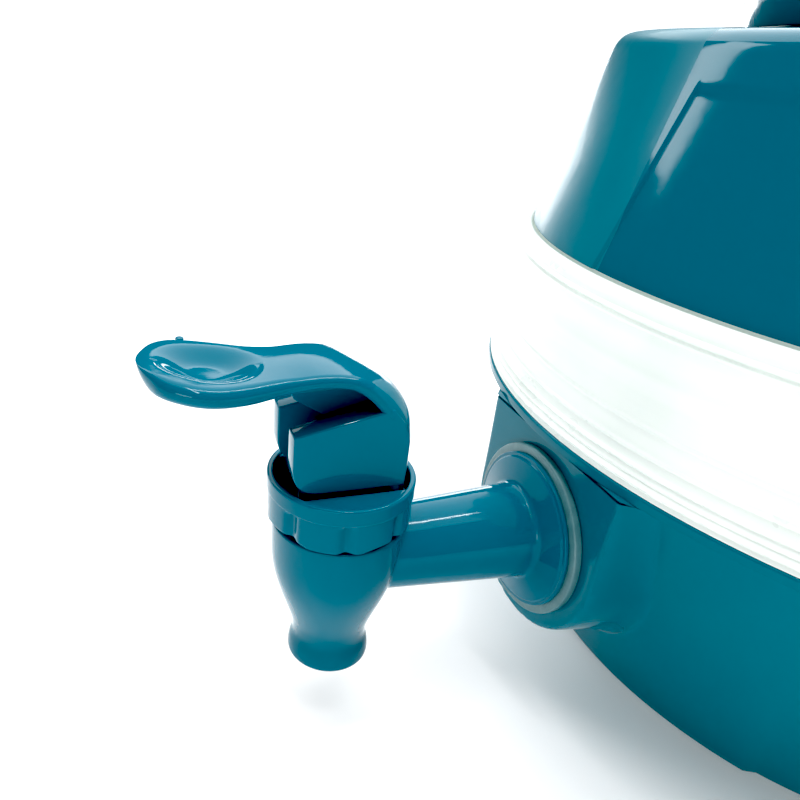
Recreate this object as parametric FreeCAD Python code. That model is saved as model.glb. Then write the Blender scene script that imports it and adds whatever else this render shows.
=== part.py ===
import FreeCAD, Part
import math
import os

# Collapsible countertop water dispenser, in millimetres.
# Origin: centre of the footprint on the counter. +Z is up and the tap points along -Y.

V = FreeCAD.Vector
X_AXIS = V(1, 0, 0)
Y_AXIS = V(0, 1, 0)
Z_AXIS = V(0, 0, 1)

# ---- base tub ----
WALL = 2.6                 # moulded wall of the tub and of the shoulder shell
FOOT_PROUD = 1.2           # how far the rubber feet stand out under the tub
FOOT_R = 7.0
FOOT_RECESS = 1.0
FOOT_INSET = 18.0          # centres of the feet inside the edge of the floor
HEEL_ROUND = 3.0
RIM_R = 108.3
RIM_TOP = 70.8
FLOOR_INSET = 28.3         # the wall tapers in by this much from the rim to the floor
RIM_BAND = 2.2             # height of the overhanging edge of the rim
RIM_OVERHANG = 3.3
GROOVE_DEPTH = 2.4         # channel in the rim that takes the lower bead of the bellows
GROOVE_LIP = 1.3           # rim material outside the channel
GROOVE_WIDTH = 4.8
GROOVE_LEDGE = 2.5         # rim material inside the channel

# ---- flat pad for the tap ----
PAD_SETBACK = 1.5          # the pad's face lies this far inside the rim
PAD_HALF = 24.5
PAD_DRAFT = 7.0            # how much wider the pad is where it meets the wall
TAP_Z = 44.8               # tap's horizontal axis above the counter
TAP_HOLE_CLEARANCE = 0.2

# ---- bellows ----
SKIN = 1.2
BEAD_FIT = 0.1             # side clearance of the bead in its channel
BAND_HEIGHT = 27.0         # height of one folded band
FOLD_GAP = 1.1             # free gap between neighbouring bands when folded
CREST = 1.9                # rise of the outer fold over the straight flank
RIB = 0.6                  # ring ribs on the outer flank
FLANK_H = 31.2             # straight outer flank above the rim
BEAD_INSET = 0.4           # the clamp rings press this far into the channels
CREST_EASE = 0.6           # the crest turns over inside this width
CLAMP_H = 1.8
CLAMP_WALL_GAP = 0.3

# ---- shoulder shell ----
SHOULDER_GAP = 3.7         # from the straight flank of the bellows up to the shell
SHOULDER_INSET = 5.6       # the shell is this much smaller than the rim
SHOULDER_TAPER = 11.8
SHOULDER_H = 44.3
SHOULDER_ROUND = 4.0
LOWER_FLANGE = 3.6
TOP_GROOVE_WIDTH = 3.2
TOP_GROOVE_LIP = 2.5
TOP_GROOVE_LEDGE = 2.5
PANEL_DEPTH = 0.4          # shallow panel on the front of the shoulder
PANEL_START = -2.4         # degrees from the tap's plane
PANEL_SWEEP = 40.0
PANEL_MARGIN = 6.0         # below the shell's rounded top edge
NECK_R = 60.0
NECK_WALL = 4.0
NECK_H = 8.0

# ---- lid ----
LID_OVERHANG = 6.0         # edge of the lid outside the neck
LID_T = 3.7
LID_SKIRT = 3.0
LID_GAP = 0.3
PLUG_WALL = 4.4
PLUG_DEPTH = 10.0
PLUG_GAP = 2.6             # between the plug and the neck, where the seal sits
SEAL_DROP = 2.0
SKIRT_LIFT = 2.0           # the skirt stops this far above the shoulder
SEAL_T = 4.0
SEAL_BITE = 1.9
SEAL_FIT = 0.06
GRIP_LENGTH = 92.0
GRIP_WIDTH = 13.0
GRIP_H = 11.0

# ---- carry handle ----
PIVOT_RISE = 25.3          # pivot above the lower edge of the shell
STRAP_INSET = 2.7          # inside of the strap, within the shell's lower edge
STRAP_T = 4.4
STRAP_H = 16.0
HUB_R = 8.5
PIVOT_R = 4.0
PIVOT_HEAD_R = 6.5
PIVOT_HEAD_T = 2.2
PIVOT_FIT = 0.08
EAR_R = 9.0
EAR_GAP = 0.4
STOP_GAP = 0.3
STOP_T = 3.6
STOP_Y = 10.5
STOP_W = 4.5

# ---- tap body ----
TAP_REACH = 49.1           # pad face to the tap's vertical axis
GASKET_T = 1.9
GASKET_R = 20.4
GASKET_EDGE = 0.4
FLANGE_R = 18.4
FLANGE_T = 3.0
FLANGE_EDGE = 0.9
STEM_R_TAP = 9.4
STEM_R_FLANGE = 11.1
STEM_FILLET = 1.4
SHANK_R = 8.0
SHANK_LENGTH = 19.0        # threaded length behind the flange
THREAD_DEPTH = 0.6
THREAD_PITCH = 2.0
PASSAGE_R = 5.4
BODY_RISE = 10.6           # top of the vase above the horizontal axis
BODY_EDGE = 0.6
BODY_R = 14.3
NECK_BOSS_R = 12.6
NECK_BOSS_H = 3.6
CHAMBER_R = 8.6
SEAT_DROP = 12.8           # valve seat below the horizontal axis
THROAT_R = 6.0
OUTLET_DROP = 27.2         # spout end below the horizontal axis
OUTLET_R = 7.6
LIP_R = 9.5
WAIST_R = 8.6
# stations down the vase: (swell over the waist, drop below the horizontal axis)
BODY_FLANK = [(4.9, 3.0), (3.8, 7.2), (2.5, 11.1), (1.1, 15.2), (0.3, 18.1)]
WAIST_DROP = 21.2
NUT_FLATS = 26.0
NUT_T = 6.0
INNER_GASKET_R = 13.5

# ---- bonnet ----
BONNET_R = 15.5
BONNET_H = 7.7             # above the neck boss
BONNET_BAND = 3.6
SKIRT_R = 15.05
SKIRT_GAP = 0.8            # between the skirt and the top of the vase
SKIRT_FIT = 0.3
PLATEAU_DROP = 0.6
BONNET_LIP = 1.3
SLOT_HALF = 8.6
SLOT_WEB = 2.7             # cap left under the slot
FLUTES = 8
FLUTE_CUTTER_R = 3.0
FLUTE_DEPTH = 0.4
SCALLOP_R = 6.0
SCALLOP_RISE = 0.8

# ---- valve ----
VALVE_R = 3.0
VALVE_FIT = 0.1
HEAD_HALF = 3.9
HEAD_R = 4.9
TRUNNION_R = 2.2
TRUNNION_END = 6.6
TRUNNION_FIT = 0.08
TRUNNION_END_GAP = 0.2
TRUNNION_RISE = 7.3        # lever's axis above the cap
CUP_R = 7.6
CUP_H = 6.0
CUP_POCKET = 4.0
SEAT_GAP = 0.05
SPRING_R = 4.8
WIRE_R = 0.55
SPRING_PITCH = 3.2

# ---- lever ----
SHEET = 2.6
PADDLE_HALF = 12.4
PADDLE_Y = -28.5
PADDLE_TIP = -39.9
NECK_HALF = 9.0
NECK_Y = -12.0
BACK_Y = 13.4
BACK_HALF = 8.6
BACK_CROWN = 2.8
BACK_LEAN = 0.6            # thins the skin of the back
CHEEK_INNER = 4.2
CHEEK_OUTER = 8.3
CHEEK_FRONT = -12.6
CHEEK_DROP = 7.0           # heights of the lever are given from its axis
CHEEK_ROUND = 3.6
CHEEK_FRONT_RISE = 5.2
CHEEK_BACK_RISE = 9.2
FOOT_OUTER = 6.9
CAM_FRONT = -10.5
CAM_BACK = 5.0
CAM_GAP = 0.3
CAM_ROUND = 2.5
WEB_HALF = 1.2
WEB_SIDE = [(-15.0, 15.5), (-11.3, 10.2), (-5.0, 6.4), (9.0, 6.4), (9.0, 8.0), (2.0, 13.4), (-3.0, 15.8)]
DISH_DEPTH = 1.2
DISH_HALF_X = 7.6
DISH_HALF_Y = 9.6
DISH_Y = -27.0
PADDLE_RISE = 18.3

# ---- worked-out places ----
PAD_Y = -(RIM_R - PAD_SETBACK)
FLOOR_R = RIM_R - FLOOR_INSET
FOOT_RING_R = FLOOR_R - FOOT_INSET
FLANK_TOP = RIM_TOP + FLANK_H
SHOULDER_Z = FLANK_TOP + SHOULDER_GAP
SHOULDER_R = RIM_R - SHOULDER_INSET
SHOULDER_TOP_R = SHOULDER_R - SHOULDER_TAPER
SHOULDER_TOP = SHOULDER_Z + SHOULDER_H
PIVOT_Z = SHOULDER_Z + PIVOT_RISE
HANDLE_R = SHOULDER_R - STRAP_INSET
TAP_Y = PAD_Y - TAP_REACH
TUB_BOTTOM = FOOT_PROUD
WALL_TOP_R = RIM_R - RIM_OVERHANG
RIM_UNDER = RIM_TOP - RIM_BAND
GROOVE_OUT = RIM_R - GROOVE_LIP
GROOVE_IN = GROOVE_OUT - GROOVE_WIDTH
RIM_IN = GROOVE_IN - GROOVE_LEDGE
GROOVE_FLOOR = RIM_TOP - GROOVE_DEPTH
BELLOWS_R = GROOVE_OUT - BEAD_FIT
TOP_GROOVE_OUT = SHOULDER_R - TOP_GROOVE_LIP
TOP_GROOVE_IN = TOP_GROOVE_OUT - TOP_GROOVE_WIDTH
SHOULDER_IN = TOP_GROOVE_IN - TOP_GROOVE_LEDGE
TOP_GROOVE_ROOF = SHOULDER_Z + GROOVE_DEPTH
CONE_SLOPE = SHOULDER_TAPER / SHOULDER_H
NECK_TOP = SHOULDER_TOP + NECK_H
NECK_IN = NECK_R - NECK_WALL
LID_R = NECK_R + LID_OVERHANG
LID_Z = NECK_TOP + LID_GAP
LID_TOP = LID_Z + LID_T
PLUG_R = NECK_IN - PLUG_GAP
SEAL_HIGH = LID_Z - SEAL_DROP
SEAL_LOW = SEAL_HIGH - SEAL_T
EAR_FACE = HANDLE_R - 2 * EAR_GAP
FLANGE_BACK = PAD_Y - GASKET_T
FLANGE_FRONT = FLANGE_BACK - FLANGE_T
SHANK_END = FLANGE_BACK + SHANK_LENGTH
PAD_INNER = PAD_Y + WALL
NUT_Y = PAD_INNER + GASKET_T
BODY_TOP = TAP_Z + BODY_RISE
NECK_BOSS_TOP = BODY_TOP + NECK_BOSS_H
SEAT_Z = TAP_Z - SEAT_DROP
OUTLET_Z = TAP_Z - OUTLET_DROP
WAIST_Z = TAP_Z - WAIST_DROP
SKIRT_Z = BODY_TOP + SKIRT_GAP
BONNET_UNDER = NECK_BOSS_TOP
BONNET_TOP = BONNET_UNDER + BONNET_H
SLOT_FLOOR = BONNET_UNDER + SLOT_WEB
CUP_Z = SEAT_Z + SEAT_GAP
TRUNNION_Z = BONNET_TOP + TRUNNION_RISE
CHEEK_BOTTOM = TRUNNION_Z - CHEEK_DROP
CHEEK_FRONT_TOP = TRUNNION_Z + CHEEK_FRONT_RISE
CHEEK_BACK_TOP = TRUNNION_Z + CHEEK_BACK_RISE
CAM_Z = SLOT_FLOOR + CAM_GAP


def cone_r(z):
    """Outside radius of the shoulder at height z."""
    return SHOULDER_R - CONE_SLOPE * (z - SHOULDER_Z)


def closed_face(points):
    """Flat face from a list of corner points."""
    wire = Part.makePolygon(points + [points[0]])
    return Part.Face(wire)


def turned(profile, centre_y=0.0):
    """Solid turned about the vertical axis at (0, centre_y) from (radius, height) corners."""
    face = closed_face([V(r, centre_y, z) for r, z in profile])
    return face.revolve(V(0, centre_y, 0), Z_AXIS, 360)


def turned_y(profile):
    """Solid turned about the tap's horizontal axis from (radius, y) corners."""
    face = closed_face([V(r, y, TAP_Z) for r, y in profile])
    return face.revolve(V(0, 0, TAP_Z), Y_AXIS, 360)


def upright(radius, z_low, z_high, x=0.0, y=0.0):
    """Vertical cylinder."""
    return Part.makeCylinder(radius, z_high - z_low, V(x, y, z_low), Z_AXIS)


def along_y(radius, y_low, y_high):
    """Cylinder on the tap's horizontal axis."""
    return Part.makeCylinder(radius, y_high - y_low, V(0, y_low, TAP_Z), Y_AXIS)


def along_x(radius, x_low, x_high, y, z):
    """Cylinder across the dispenser."""
    return Part.makeCylinder(radius, x_high - x_low, V(x_low, y, z), X_AXIS)


def block(low, high):
    """Box between two corners."""
    size = [b - a for a, b in zip(low, high)]
    return Part.makeBox(size[0], size[1], size[2], V(low[0], low[1], low[2]))


def ring(r_in, r_out, z_low, z_high, centre_y=0.0):
    """Plain ring of rectangular section."""
    return turned([(r_in, z_low), (r_out, z_low), (r_out, z_high), (r_in, z_high)], centre_y)


def side_plate(points, x_low, x_high, centre_y=0.0):
    """Plate of constant thickness across X from (y, z) corners given from the tap's axis."""
    face = closed_face([V(x_low, centre_y + y, z) for y, z in points])
    return face.extrude(V(x_high - x_low, 0, 0))


def pad_outline(y, inset, spread):
    """U-shaped outline of the tap pad in the plane at y, open side up and closed by a line."""
    half = PAD_HALF - inset + spread
    top = RIM_UNDER
    left = V(-half, y, top)
    right = V(half, y, top)
    low_left = V(-half, y, TAP_Z)
    low_right = V(half, y, TAP_Z)
    bowl = Part.Arc(low_left, V(0, y, TAP_Z - half), low_right).toShape()
    sides = [Part.makeLine(left, low_left), bowl, Part.makeLine(low_right, right)]
    return Part.Wire(sides + [Part.makeLine(right, left)])


def pad_prism(inset):
    """Drafted prism of the tap pad, from its face back into the tub wall."""
    front = pad_outline(PAD_Y + inset, inset, 0.0)
    back = pad_outline(PAD_Y + RIM_R - FLOOR_R + PAD_DRAFT, inset, PAD_DRAFT)
    return Part.makeLoft([front, back], True, True)


def foot_places():
    """Centres of the feet: four in a ring and one under the middle of the floor."""
    places = []
    for k in range(4):
        angle = math.radians(45 + 90 * k)
        places.append((FOOT_RING_R * math.cos(angle), FOOT_RING_R * math.sin(angle)))
    return places + [(0.0, 0.0)]


def base_tub():
    """Tapered tub with an overhanging rim, a flat pad for the tap and a channel for the bellows."""
    outer = turned([
        (0, TUB_BOTTOM), (FLOOR_R - HEEL_ROUND, TUB_BOTTOM), (FLOOR_R, TUB_BOTTOM + HEEL_ROUND),
        (WALL_TOP_R, RIM_UNDER), (RIM_R, RIM_UNDER), (RIM_R, RIM_TOP), (0, RIM_TOP)])
    slope = (WALL_TOP_R - FLOOR_R) / (RIM_UNDER - TUB_BOTTOM - HEEL_ROUND)
    ledge_z = RIM_TOP - GROOVE_DEPTH - WALL
    bevel_z = ledge_z - (WALL_TOP_R - WALL - RIM_IN)
    bevel_r = WALL_TOP_R - WALL - slope * (RIM_UNDER - bevel_z)
    inner = turned([
        (0, TUB_BOTTOM + WALL), (FLOOR_R - WALL - HEEL_ROUND, TUB_BOTTOM + WALL),
        (FLOOR_R - WALL, TUB_BOTTOM + WALL + HEEL_ROUND), (bevel_r, bevel_z),
        (RIM_IN, ledge_z), (RIM_IN, RIM_TOP), (0, RIM_TOP)])
    pocket = pad_prism(WALL).cut(ring(RIM_IN, 2 * RIM_R, bevel_z, RIM_TOP))
    tub = outer.fuse(pad_prism(0.0)).cut(inner.fuse(pocket))
    tub = tub.cut(ring(GROOVE_IN, GROOVE_OUT, GROOVE_FLOOR, RIM_TOP))
    tub = tub.cut(along_y(SHANK_R + TAP_HOLE_CLEARANCE, PAD_Y, PAD_INNER))
    for x, y in foot_places():
        tub = tub.cut(upright(FOOT_R, TUB_BOTTOM, TUB_BOTTOM + FOOT_RECESS, x, y))
    return tub.removeSplitter()


def foot_pad(x, y):
    """Rubber foot set into its recess."""
    foot = upright(FOOT_R, 0.0, TUB_BOTTOM + FOOT_RECESS, x, y)
    low_edges = [e for e in foot.Edges if e.BoundBox.ZMax < 0.01]
    return foot.makeFillet(FOOT_PROUD / 2, low_edges)


def bellows():
    """Soft folding wall in its nested state: an outer flank and two bands folded inside it."""
    out = BELLOWS_R
    inn = out - SKIN
    bead_top = RIM_TOP - BEAD_INSET
    ribs = []
    for z in (RIM_TOP + 1.0, RIM_TOP + 3.0, RIM_TOP + 5.0, FLANK_TOP - 1.0):
        ribs += [(out, z - RIB), (out + RIB, z - RIB / 2), (out + RIB, z + RIB / 2), (out, z + RIB)]
    second = inn - FOLD_GAP
    third = TOP_GROOVE_OUT - BEAD_FIT
    low = FLANK_TOP - BAND_HEIGHT
    top_bead = SHOULDER_Z + BEAD_INSET
    bead_in = TOP_GROOVE_IN + BEAD_FIT
    crest_mid = (inn + second) / 2
    fold_mid = (second - 2 * SKIN + third) / 2
    profile = [(GROOVE_IN + BEAD_FIT, GROOVE_FLOOR), (out, GROOVE_FLOOR)] + ribs + [
        (out, FLANK_TOP), (out - CREST_EASE, FLANK_TOP + 0.7 * CREST), (crest_mid, FLANK_TOP + CREST),
        (second - SKIN + CREST_EASE, FLANK_TOP + 0.7 * CREST), (second - SKIN, FLANK_TOP),
        (second - 2 * SKIN, low + SKIN), (fold_mid, low), (third, low + SKIN),
        (third, TOP_GROOVE_ROOF), (bead_in, TOP_GROOVE_ROOF), (bead_in, top_bead),
        (third - SKIN, top_bead), (third - SKIN, low), (third - SKIN / 2, low - SKIN),
        (second - SKIN, low - SKIN), (second - SKIN / 2, low),
        (second, FLANK_TOP - 0.4), (crest_mid, FLANK_TOP + CREST - SKIN), (inn, FLANK_TOP - 0.4),
        (inn, bead_top), (GROOVE_IN + BEAD_FIT, bead_top)]
    return turned(profile)


def lower_clamp_ring():
    """Ring pressed down on the lower bead of the bellows."""
    bead_top = RIM_TOP - BEAD_INSET
    r_in = RIM_IN + BEAD_FIT
    r_step = GROOVE_IN + BEAD_FIT
    r_out = BELLOWS_R - SKIN - CLAMP_WALL_GAP
    return turned([
        (r_in, RIM_TOP), (r_step, RIM_TOP), (r_step, bead_top), (r_out, bead_top),
        (r_out, RIM_TOP + CLAMP_H), (r_in, RIM_TOP + CLAMP_H)])


def upper_clamp_ring():
    """Ring pressed up on the upper bead of the bellows."""
    bead_low = SHOULDER_Z + BEAD_INSET
    r_in = SHOULDER_IN
    r_step = TOP_GROOVE_IN + BEAD_FIT
    r_out = TOP_GROOVE_OUT - BEAD_FIT - SKIN - CLAMP_WALL_GAP
    return turned([
        (r_in, SHOULDER_Z - CLAMP_H), (r_out, SHOULDER_Z - CLAMP_H), (r_out, bead_low),
        (r_step, bead_low), (r_step, SHOULDER_Z), (r_in, SHOULDER_Z)])


def shoulder_panel():
    """Thin curved slab taken out of the cone for the front panel, which is open at the lower edge."""
    z_low = SHOULDER_Z - WALL
    z_high = SHOULDER_TOP - SHOULDER_ROUND - PANEL_MARGIN
    corners = [
        (cone_r(z_low) - PANEL_DEPTH, z_low), (cone_r(z_low) + 1, z_low),
        (cone_r(z_high) + 1, z_high), (cone_r(z_high) - PANEL_DEPTH, z_high)]
    face = closed_face([V(0, -r, z) for r, z in corners])
    slab = face.revolve(V(0, 0, 0), Z_AXIS, PANEL_SWEEP)
    slab.rotate(V(0, 0, 0), Z_AXIS, PANEL_START)
    return slab


def shoulder_shell():
    """Tapered top shell with a round neck, two ears for the handle and stops under its arms."""
    outer = turned([
        (0, SHOULDER_Z), (SHOULDER_R, SHOULDER_Z), (SHOULDER_TOP_R, SHOULDER_TOP), (0, SHOULDER_TOP)])
    edge = [e for e in outer.Edges if e.BoundBox.ZMin > SHOULDER_TOP - 0.01]
    outer = outer.makeFillet(SHOULDER_ROUND, edge)
    flange_top = SHOULDER_Z + LOWER_FLANGE
    ceiling = SHOULDER_TOP - WALL
    hollow = turned([
        (0, SHOULDER_Z), (SHOULDER_IN, SHOULDER_Z), (SHOULDER_IN, flange_top),
        (cone_r(flange_top) - WALL, flange_top), (cone_r(ceiling) - WALL - SHOULDER_ROUND / 2, ceiling),
        (0, ceiling)])
    shell = outer.cut(hollow).fuse(upright(NECK_R, ceiling, NECK_TOP))
    shell = shell.cut(upright(NECK_IN, SHOULDER_Z, NECK_TOP))
    shell = shell.cut(ring(TOP_GROOVE_IN, TOP_GROOVE_OUT, SHOULDER_Z, TOP_GROOVE_ROOF))
    shell = shell.cut(shoulder_panel())
    ear_root = cone_r(PIVOT_Z + EAR_R) - 2 * WALL
    stop_top = PIVOT_Z - STRAP_H / 2 - STOP_GAP
    for side in (-1, 1):
        x_pair = sorted((side * ear_root, side * EAR_FACE))
        ear = along_x(EAR_R, x_pair[0], x_pair[1], 0, PIVOT_Z)
        shell = shell.fuse(ear)
        for front in (-1, 1):
            y_pair = sorted((front * (STOP_Y - STOP_W / 2), front * (STOP_Y + STOP_W / 2)))
            x_stop = sorted((side * (cone_r(stop_top) - 2), side * (HANDLE_R + STRAP_T)))
            stop = block((x_stop[0], y_pair[0], stop_top - STOP_T), (x_stop[1], y_pair[1], stop_top))
            shell = shell.fuse(stop)
    shell = shell.cut(along_x(PIVOT_R, -2 * RIM_R, 2 * RIM_R, 0, PIVOT_Z))
    return shell.removeSplitter()


def handle_pivot(side):
    """Headed pin that carries one arm of the handle."""
    inner_end = cone_r(PIVOT_Z + EAR_R) - 2 * WALL
    head = HANDLE_R + STRAP_T + EAR_GAP / 2
    pin = along_x(PIVOT_R, inner_end, head + PIVOT_HEAD_T, 0, PIVOT_Z)
    cap = along_x(PIVOT_HEAD_R, head, head + PIVOT_HEAD_T, 0, PIVOT_Z)
    pin = pin.fuse(cap).removeSplitter()
    if side < 0:
        pin = pin.mirror(V(0, 0, 0), X_AXIS)
    return pin


def carry_handle():
    """Flat strap bent into a half circle, with a round hub at each end."""
    half = STRAP_H / 2
    corners = [
        (HANDLE_R, PIVOT_Z - half), (HANDLE_R + STRAP_T, PIVOT_Z - half),
        (HANDLE_R + STRAP_T, PIVOT_Z + half), (HANDLE_R, PIVOT_Z + half)]
    face = closed_face([V(r, 0, z) for r, z in corners])
    strap = face.revolve(V(0, 0, 0), Z_AXIS, 180)
    for side in (-1, 1):
        x_pair = sorted((side * (HANDLE_R - EAR_GAP), side * (HANDLE_R + STRAP_T)))
        strap = strap.fuse(along_x(HUB_R, x_pair[0], x_pair[1], 0, PIVOT_Z))
    strap = strap.cut(along_x(PIVOT_R + PIVOT_FIT, -2 * RIM_R, 2 * RIM_R, 0, PIVOT_Z))
    return strap.removeSplitter()


def lid():
    """Push-in lid: a disc with a skirt outside the neck, a hollow plug inside it and a grip bar."""
    skirt_in = NECK_R + 2 * LID_GAP
    plug_low = LID_Z - PLUG_DEPTH
    skirt_low = SHOULDER_TOP + SKIRT_LIFT
    profile = [
        (0, LID_Z), (PLUG_R - PLUG_WALL, LID_Z), (PLUG_R - PLUG_WALL, plug_low), (PLUG_R, plug_low),
        (PLUG_R, SEAL_LOW), (PLUG_R - SEAL_BITE, SEAL_LOW), (PLUG_R - SEAL_BITE, SEAL_HIGH),
        (PLUG_R, SEAL_HIGH), (PLUG_R, LID_Z), (skirt_in, LID_Z), (skirt_in, skirt_low),
        (skirt_in + LID_SKIRT, skirt_low), (LID_R, LID_Z), (LID_R, LID_TOP - 1),
        (LID_R - 1, LID_TOP), (0, LID_TOP)]
    half_x, half_y = GRIP_LENGTH / 2, GRIP_WIDTH / 2
    grip = block((-half_x, -half_y, LID_Z), (half_x, half_y, LID_TOP + GRIP_H))
    ends = [e for e in grip.Edges if abs(e.Vertexes[0].Z - e.Vertexes[-1].Z) > GRIP_H]
    grip = grip.makeFillet(half_y - 0.1, ends)
    top = [e for e in grip.Edges if e.BoundBox.ZMin > LID_TOP + GRIP_H - 0.01]
    grip = grip.makeFillet(2.0, top)
    return turned(profile).fuse(grip).removeSplitter()


def lid_seal():
    """Soft ring in the plug's groove."""
    r_in = PLUG_R - SEAL_BITE
    r_out = NECK_IN - SEAL_FIT
    mid = (SEAL_LOW + SEAL_HIGH) / 2
    return turned([(r_in, SEAL_LOW), (PLUG_R, SEAL_LOW), (r_out, mid), (PLUG_R, SEAL_HIGH), (r_in, SEAL_HIGH)])


def vase_face():
    """Half section of the tap body's outside, with curved flanks."""
    flank_points = [
        V(BODY_R, TAP_Y, BODY_TOP - BODY_EDGE), V(BODY_R - 0.2, TAP_Y, TAP_Z + 1.7)]
    flank_points += [V(WAIST_R + swell, TAP_Y, TAP_Z - drop) for swell, drop in BODY_FLANK]
    flank_points += [
        V(WAIST_R, TAP_Y, WAIST_Z), V(LIP_R - 0.2, TAP_Y, OUTLET_Z + 3.3), V(LIP_R, TAP_Y, OUTLET_Z + 1.4)]
    curve = Part.BSplineCurve()
    curve.interpolate(flank_points)
    lip = Part.Arc(flank_points[-1], V(LIP_R - 0.35, TAP_Y, OUTLET_Z + 0.4),
                   V(LIP_R - 1.2, TAP_Y, OUTLET_Z)).toShape()
    corners = [
        V(LIP_R - 1.2, TAP_Y, OUTLET_Z), V(0, TAP_Y, OUTLET_Z), V(0, TAP_Y, NECK_BOSS_TOP),
        V(NECK_BOSS_R, TAP_Y, NECK_BOSS_TOP), V(NECK_BOSS_R, TAP_Y, BODY_TOP),
        V(BODY_R - BODY_EDGE, TAP_Y, BODY_TOP), flank_points[0]]
    lines = [Part.makeLine(a, b) for a, b in zip(corners, corners[1:])]
    return Part.Face(Part.Wire([curve.toShape(), lip] + lines))


def thread_profile(r_crest, y_low, y_high):
    """Saw-tooth outline of a threaded stretch, as rings, from (radius, y) corners."""
    points = []
    count = int((y_high - y_low) / THREAD_PITCH)
    for k in range(count):
        y = y_low + k * THREAD_PITCH
        points += [(r_crest - THREAD_DEPTH, y), (r_crest, y + 0.3 * THREAD_PITCH),
                   (r_crest, y + 0.5 * THREAD_PITCH), (r_crest - THREAD_DEPTH, y + 0.8 * THREAD_PITCH)]
    return points


def tap_body():
    """Vase-shaped tap with its horizontal stem, round flange and threaded shank."""
    vase = vase_face().revolve(V(0, TAP_Y, 0), Z_AXIS, 360)
    stem_end = FLANGE_FRONT
    outline = [
        (0, TAP_Y), (STEM_R_TAP, TAP_Y), (STEM_R_FLANGE, stem_end - 2 * STEM_FILLET),
        (STEM_R_FLANGE + 0.3 * STEM_FILLET, stem_end - STEM_FILLET),
        (STEM_R_FLANGE + STEM_FILLET, stem_end), (FLANGE_R, FLANGE_BACK - FLANGE_EDGE),
        (FLANGE_R, FLANGE_BACK), (SHANK_R, FLANGE_BACK), (SHANK_R, PAD_INNER)]
    outline += thread_profile(SHANK_R, PAD_INNER + 0.5, SHANK_END - 1)
    outline += [(SHANK_R - THREAD_DEPTH, SHANK_END), (0, SHANK_END)]
    body = vase.fuse(turned_y(outline))
    chamber = turned([
        (0, OUTLET_Z), (OUTLET_R, OUTLET_Z), (THROAT_R, WAIST_Z), (THROAT_R, SEAT_Z),
        (CHAMBER_R, SEAT_Z), (CHAMBER_R, NECK_BOSS_TOP), (0, NECK_BOSS_TOP)], TAP_Y)
    body = body.cut(chamber)
    body = body.cut(along_y(PASSAGE_R, TAP_Y, SHANK_END))
    return body.removeSplitter()


def outer_gasket():
    """Rubber washer between the flange and the pad."""
    return turned_y([
        (SHANK_R, FLANGE_BACK), (GASKET_R - GASKET_EDGE, FLANGE_BACK), (GASKET_R, FLANGE_BACK + GASKET_EDGE),
        (GASKET_R, PAD_Y - GASKET_EDGE), (GASKET_R - GASKET_EDGE, PAD_Y), (SHANK_R, PAD_Y)])


def inner_gasket():
    """Rubber washer between the pad's inside and the nut."""
    return turned_y([
        (SHANK_R, PAD_INNER), (INNER_GASKET_R, PAD_INNER), (INNER_GASKET_R, NUT_Y), (SHANK_R, NUT_Y)])


def lock_nut():
    """Plastic hexagon nut on the shank."""
    r_corner = NUT_FLATS / 2 / math.cos(math.pi / 6)
    corners = []
    for k in range(6):
        angle = math.radians(60 * k)
        corners.append(V(r_corner * math.cos(angle), NUT_Y, TAP_Z + r_corner * math.sin(angle)))
    hexagon = closed_face(corners).extrude(V(0, NUT_T, 0))
    return hexagon.cut(along_y(SHANK_R, NUT_Y, NUT_Y + NUT_T))


def bonnet():
    """Screw cap of the tap: raised rim, two flat halves beside a wide slot, and a fluted skirt."""
    band_z = BONNET_TOP - BONNET_BAND
    plateau = BONNET_TOP - PLATEAU_DROP
    inner = BONNET_R - BONNET_LIP
    cap = turned([
        (0, BONNET_UNDER), (NECK_BOSS_R + SKIRT_FIT, BONNET_UNDER), (NECK_BOSS_R + SKIRT_FIT, SKIRT_Z),
        (SKIRT_R, SKIRT_Z), (SKIRT_R, band_z), (BONNET_R, band_z + 0.2), (BONNET_R, BONNET_TOP - 0.5),
        (BONNET_R - 0.5, BONNET_TOP), (inner + 0.2, BONNET_TOP), (inner, plateau), (0, plateau)], TAP_Y)
    slot = block((-SLOT_HALF, TAP_Y - BONNET_R, SLOT_FLOOR), (SLOT_HALF, TAP_Y + BONNET_R, BONNET_TOP))
    cap = cap.cut(slot.common(upright(inner, SLOT_FLOOR, BONNET_TOP, 0, TAP_Y)))
    cap = cap.cut(upright(VALVE_R + VALVE_FIT, BONNET_UNDER, BONNET_TOP, 0, TAP_Y))
    for k in range(FLUTES):
        angle = 2 * math.pi * (k + 0.5) / FLUTES
        reach = SKIRT_R + FLUTE_CUTTER_R - FLUTE_DEPTH
        x = reach * math.cos(angle)
        y = TAP_Y + reach * math.sin(angle)
        cap = cap.cut(upright(FLUTE_CUTTER_R, SKIRT_Z, band_z - 0.4, x, y))
        outward = V(math.cos(angle), math.sin(angle), 0)
        start = V(0, TAP_Y, SKIRT_Z + SCALLOP_RISE - SCALLOP_R) + outward * NECK_BOSS_R
        cap = cap.cut(Part.makeCylinder(SCALLOP_R, BONNET_R, start, outward))
    return cap.removeSplitter()


def valve_stem():
    """Valve rod with a round head and two trunnions for the lever."""
    rod = upright(VALVE_R, CUP_Z + CUP_H - CUP_POCKET, TRUNNION_Z, 0, TAP_Y)
    head = along_x(HEAD_R, -HEAD_HALF, HEAD_HALF, TAP_Y, TRUNNION_Z)
    pins = along_x(TRUNNION_R, -TRUNNION_END, TRUNNION_END, TAP_Y, TRUNNION_Z)
    return rod.fuse(head).fuse(pins).removeSplitter()


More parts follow.
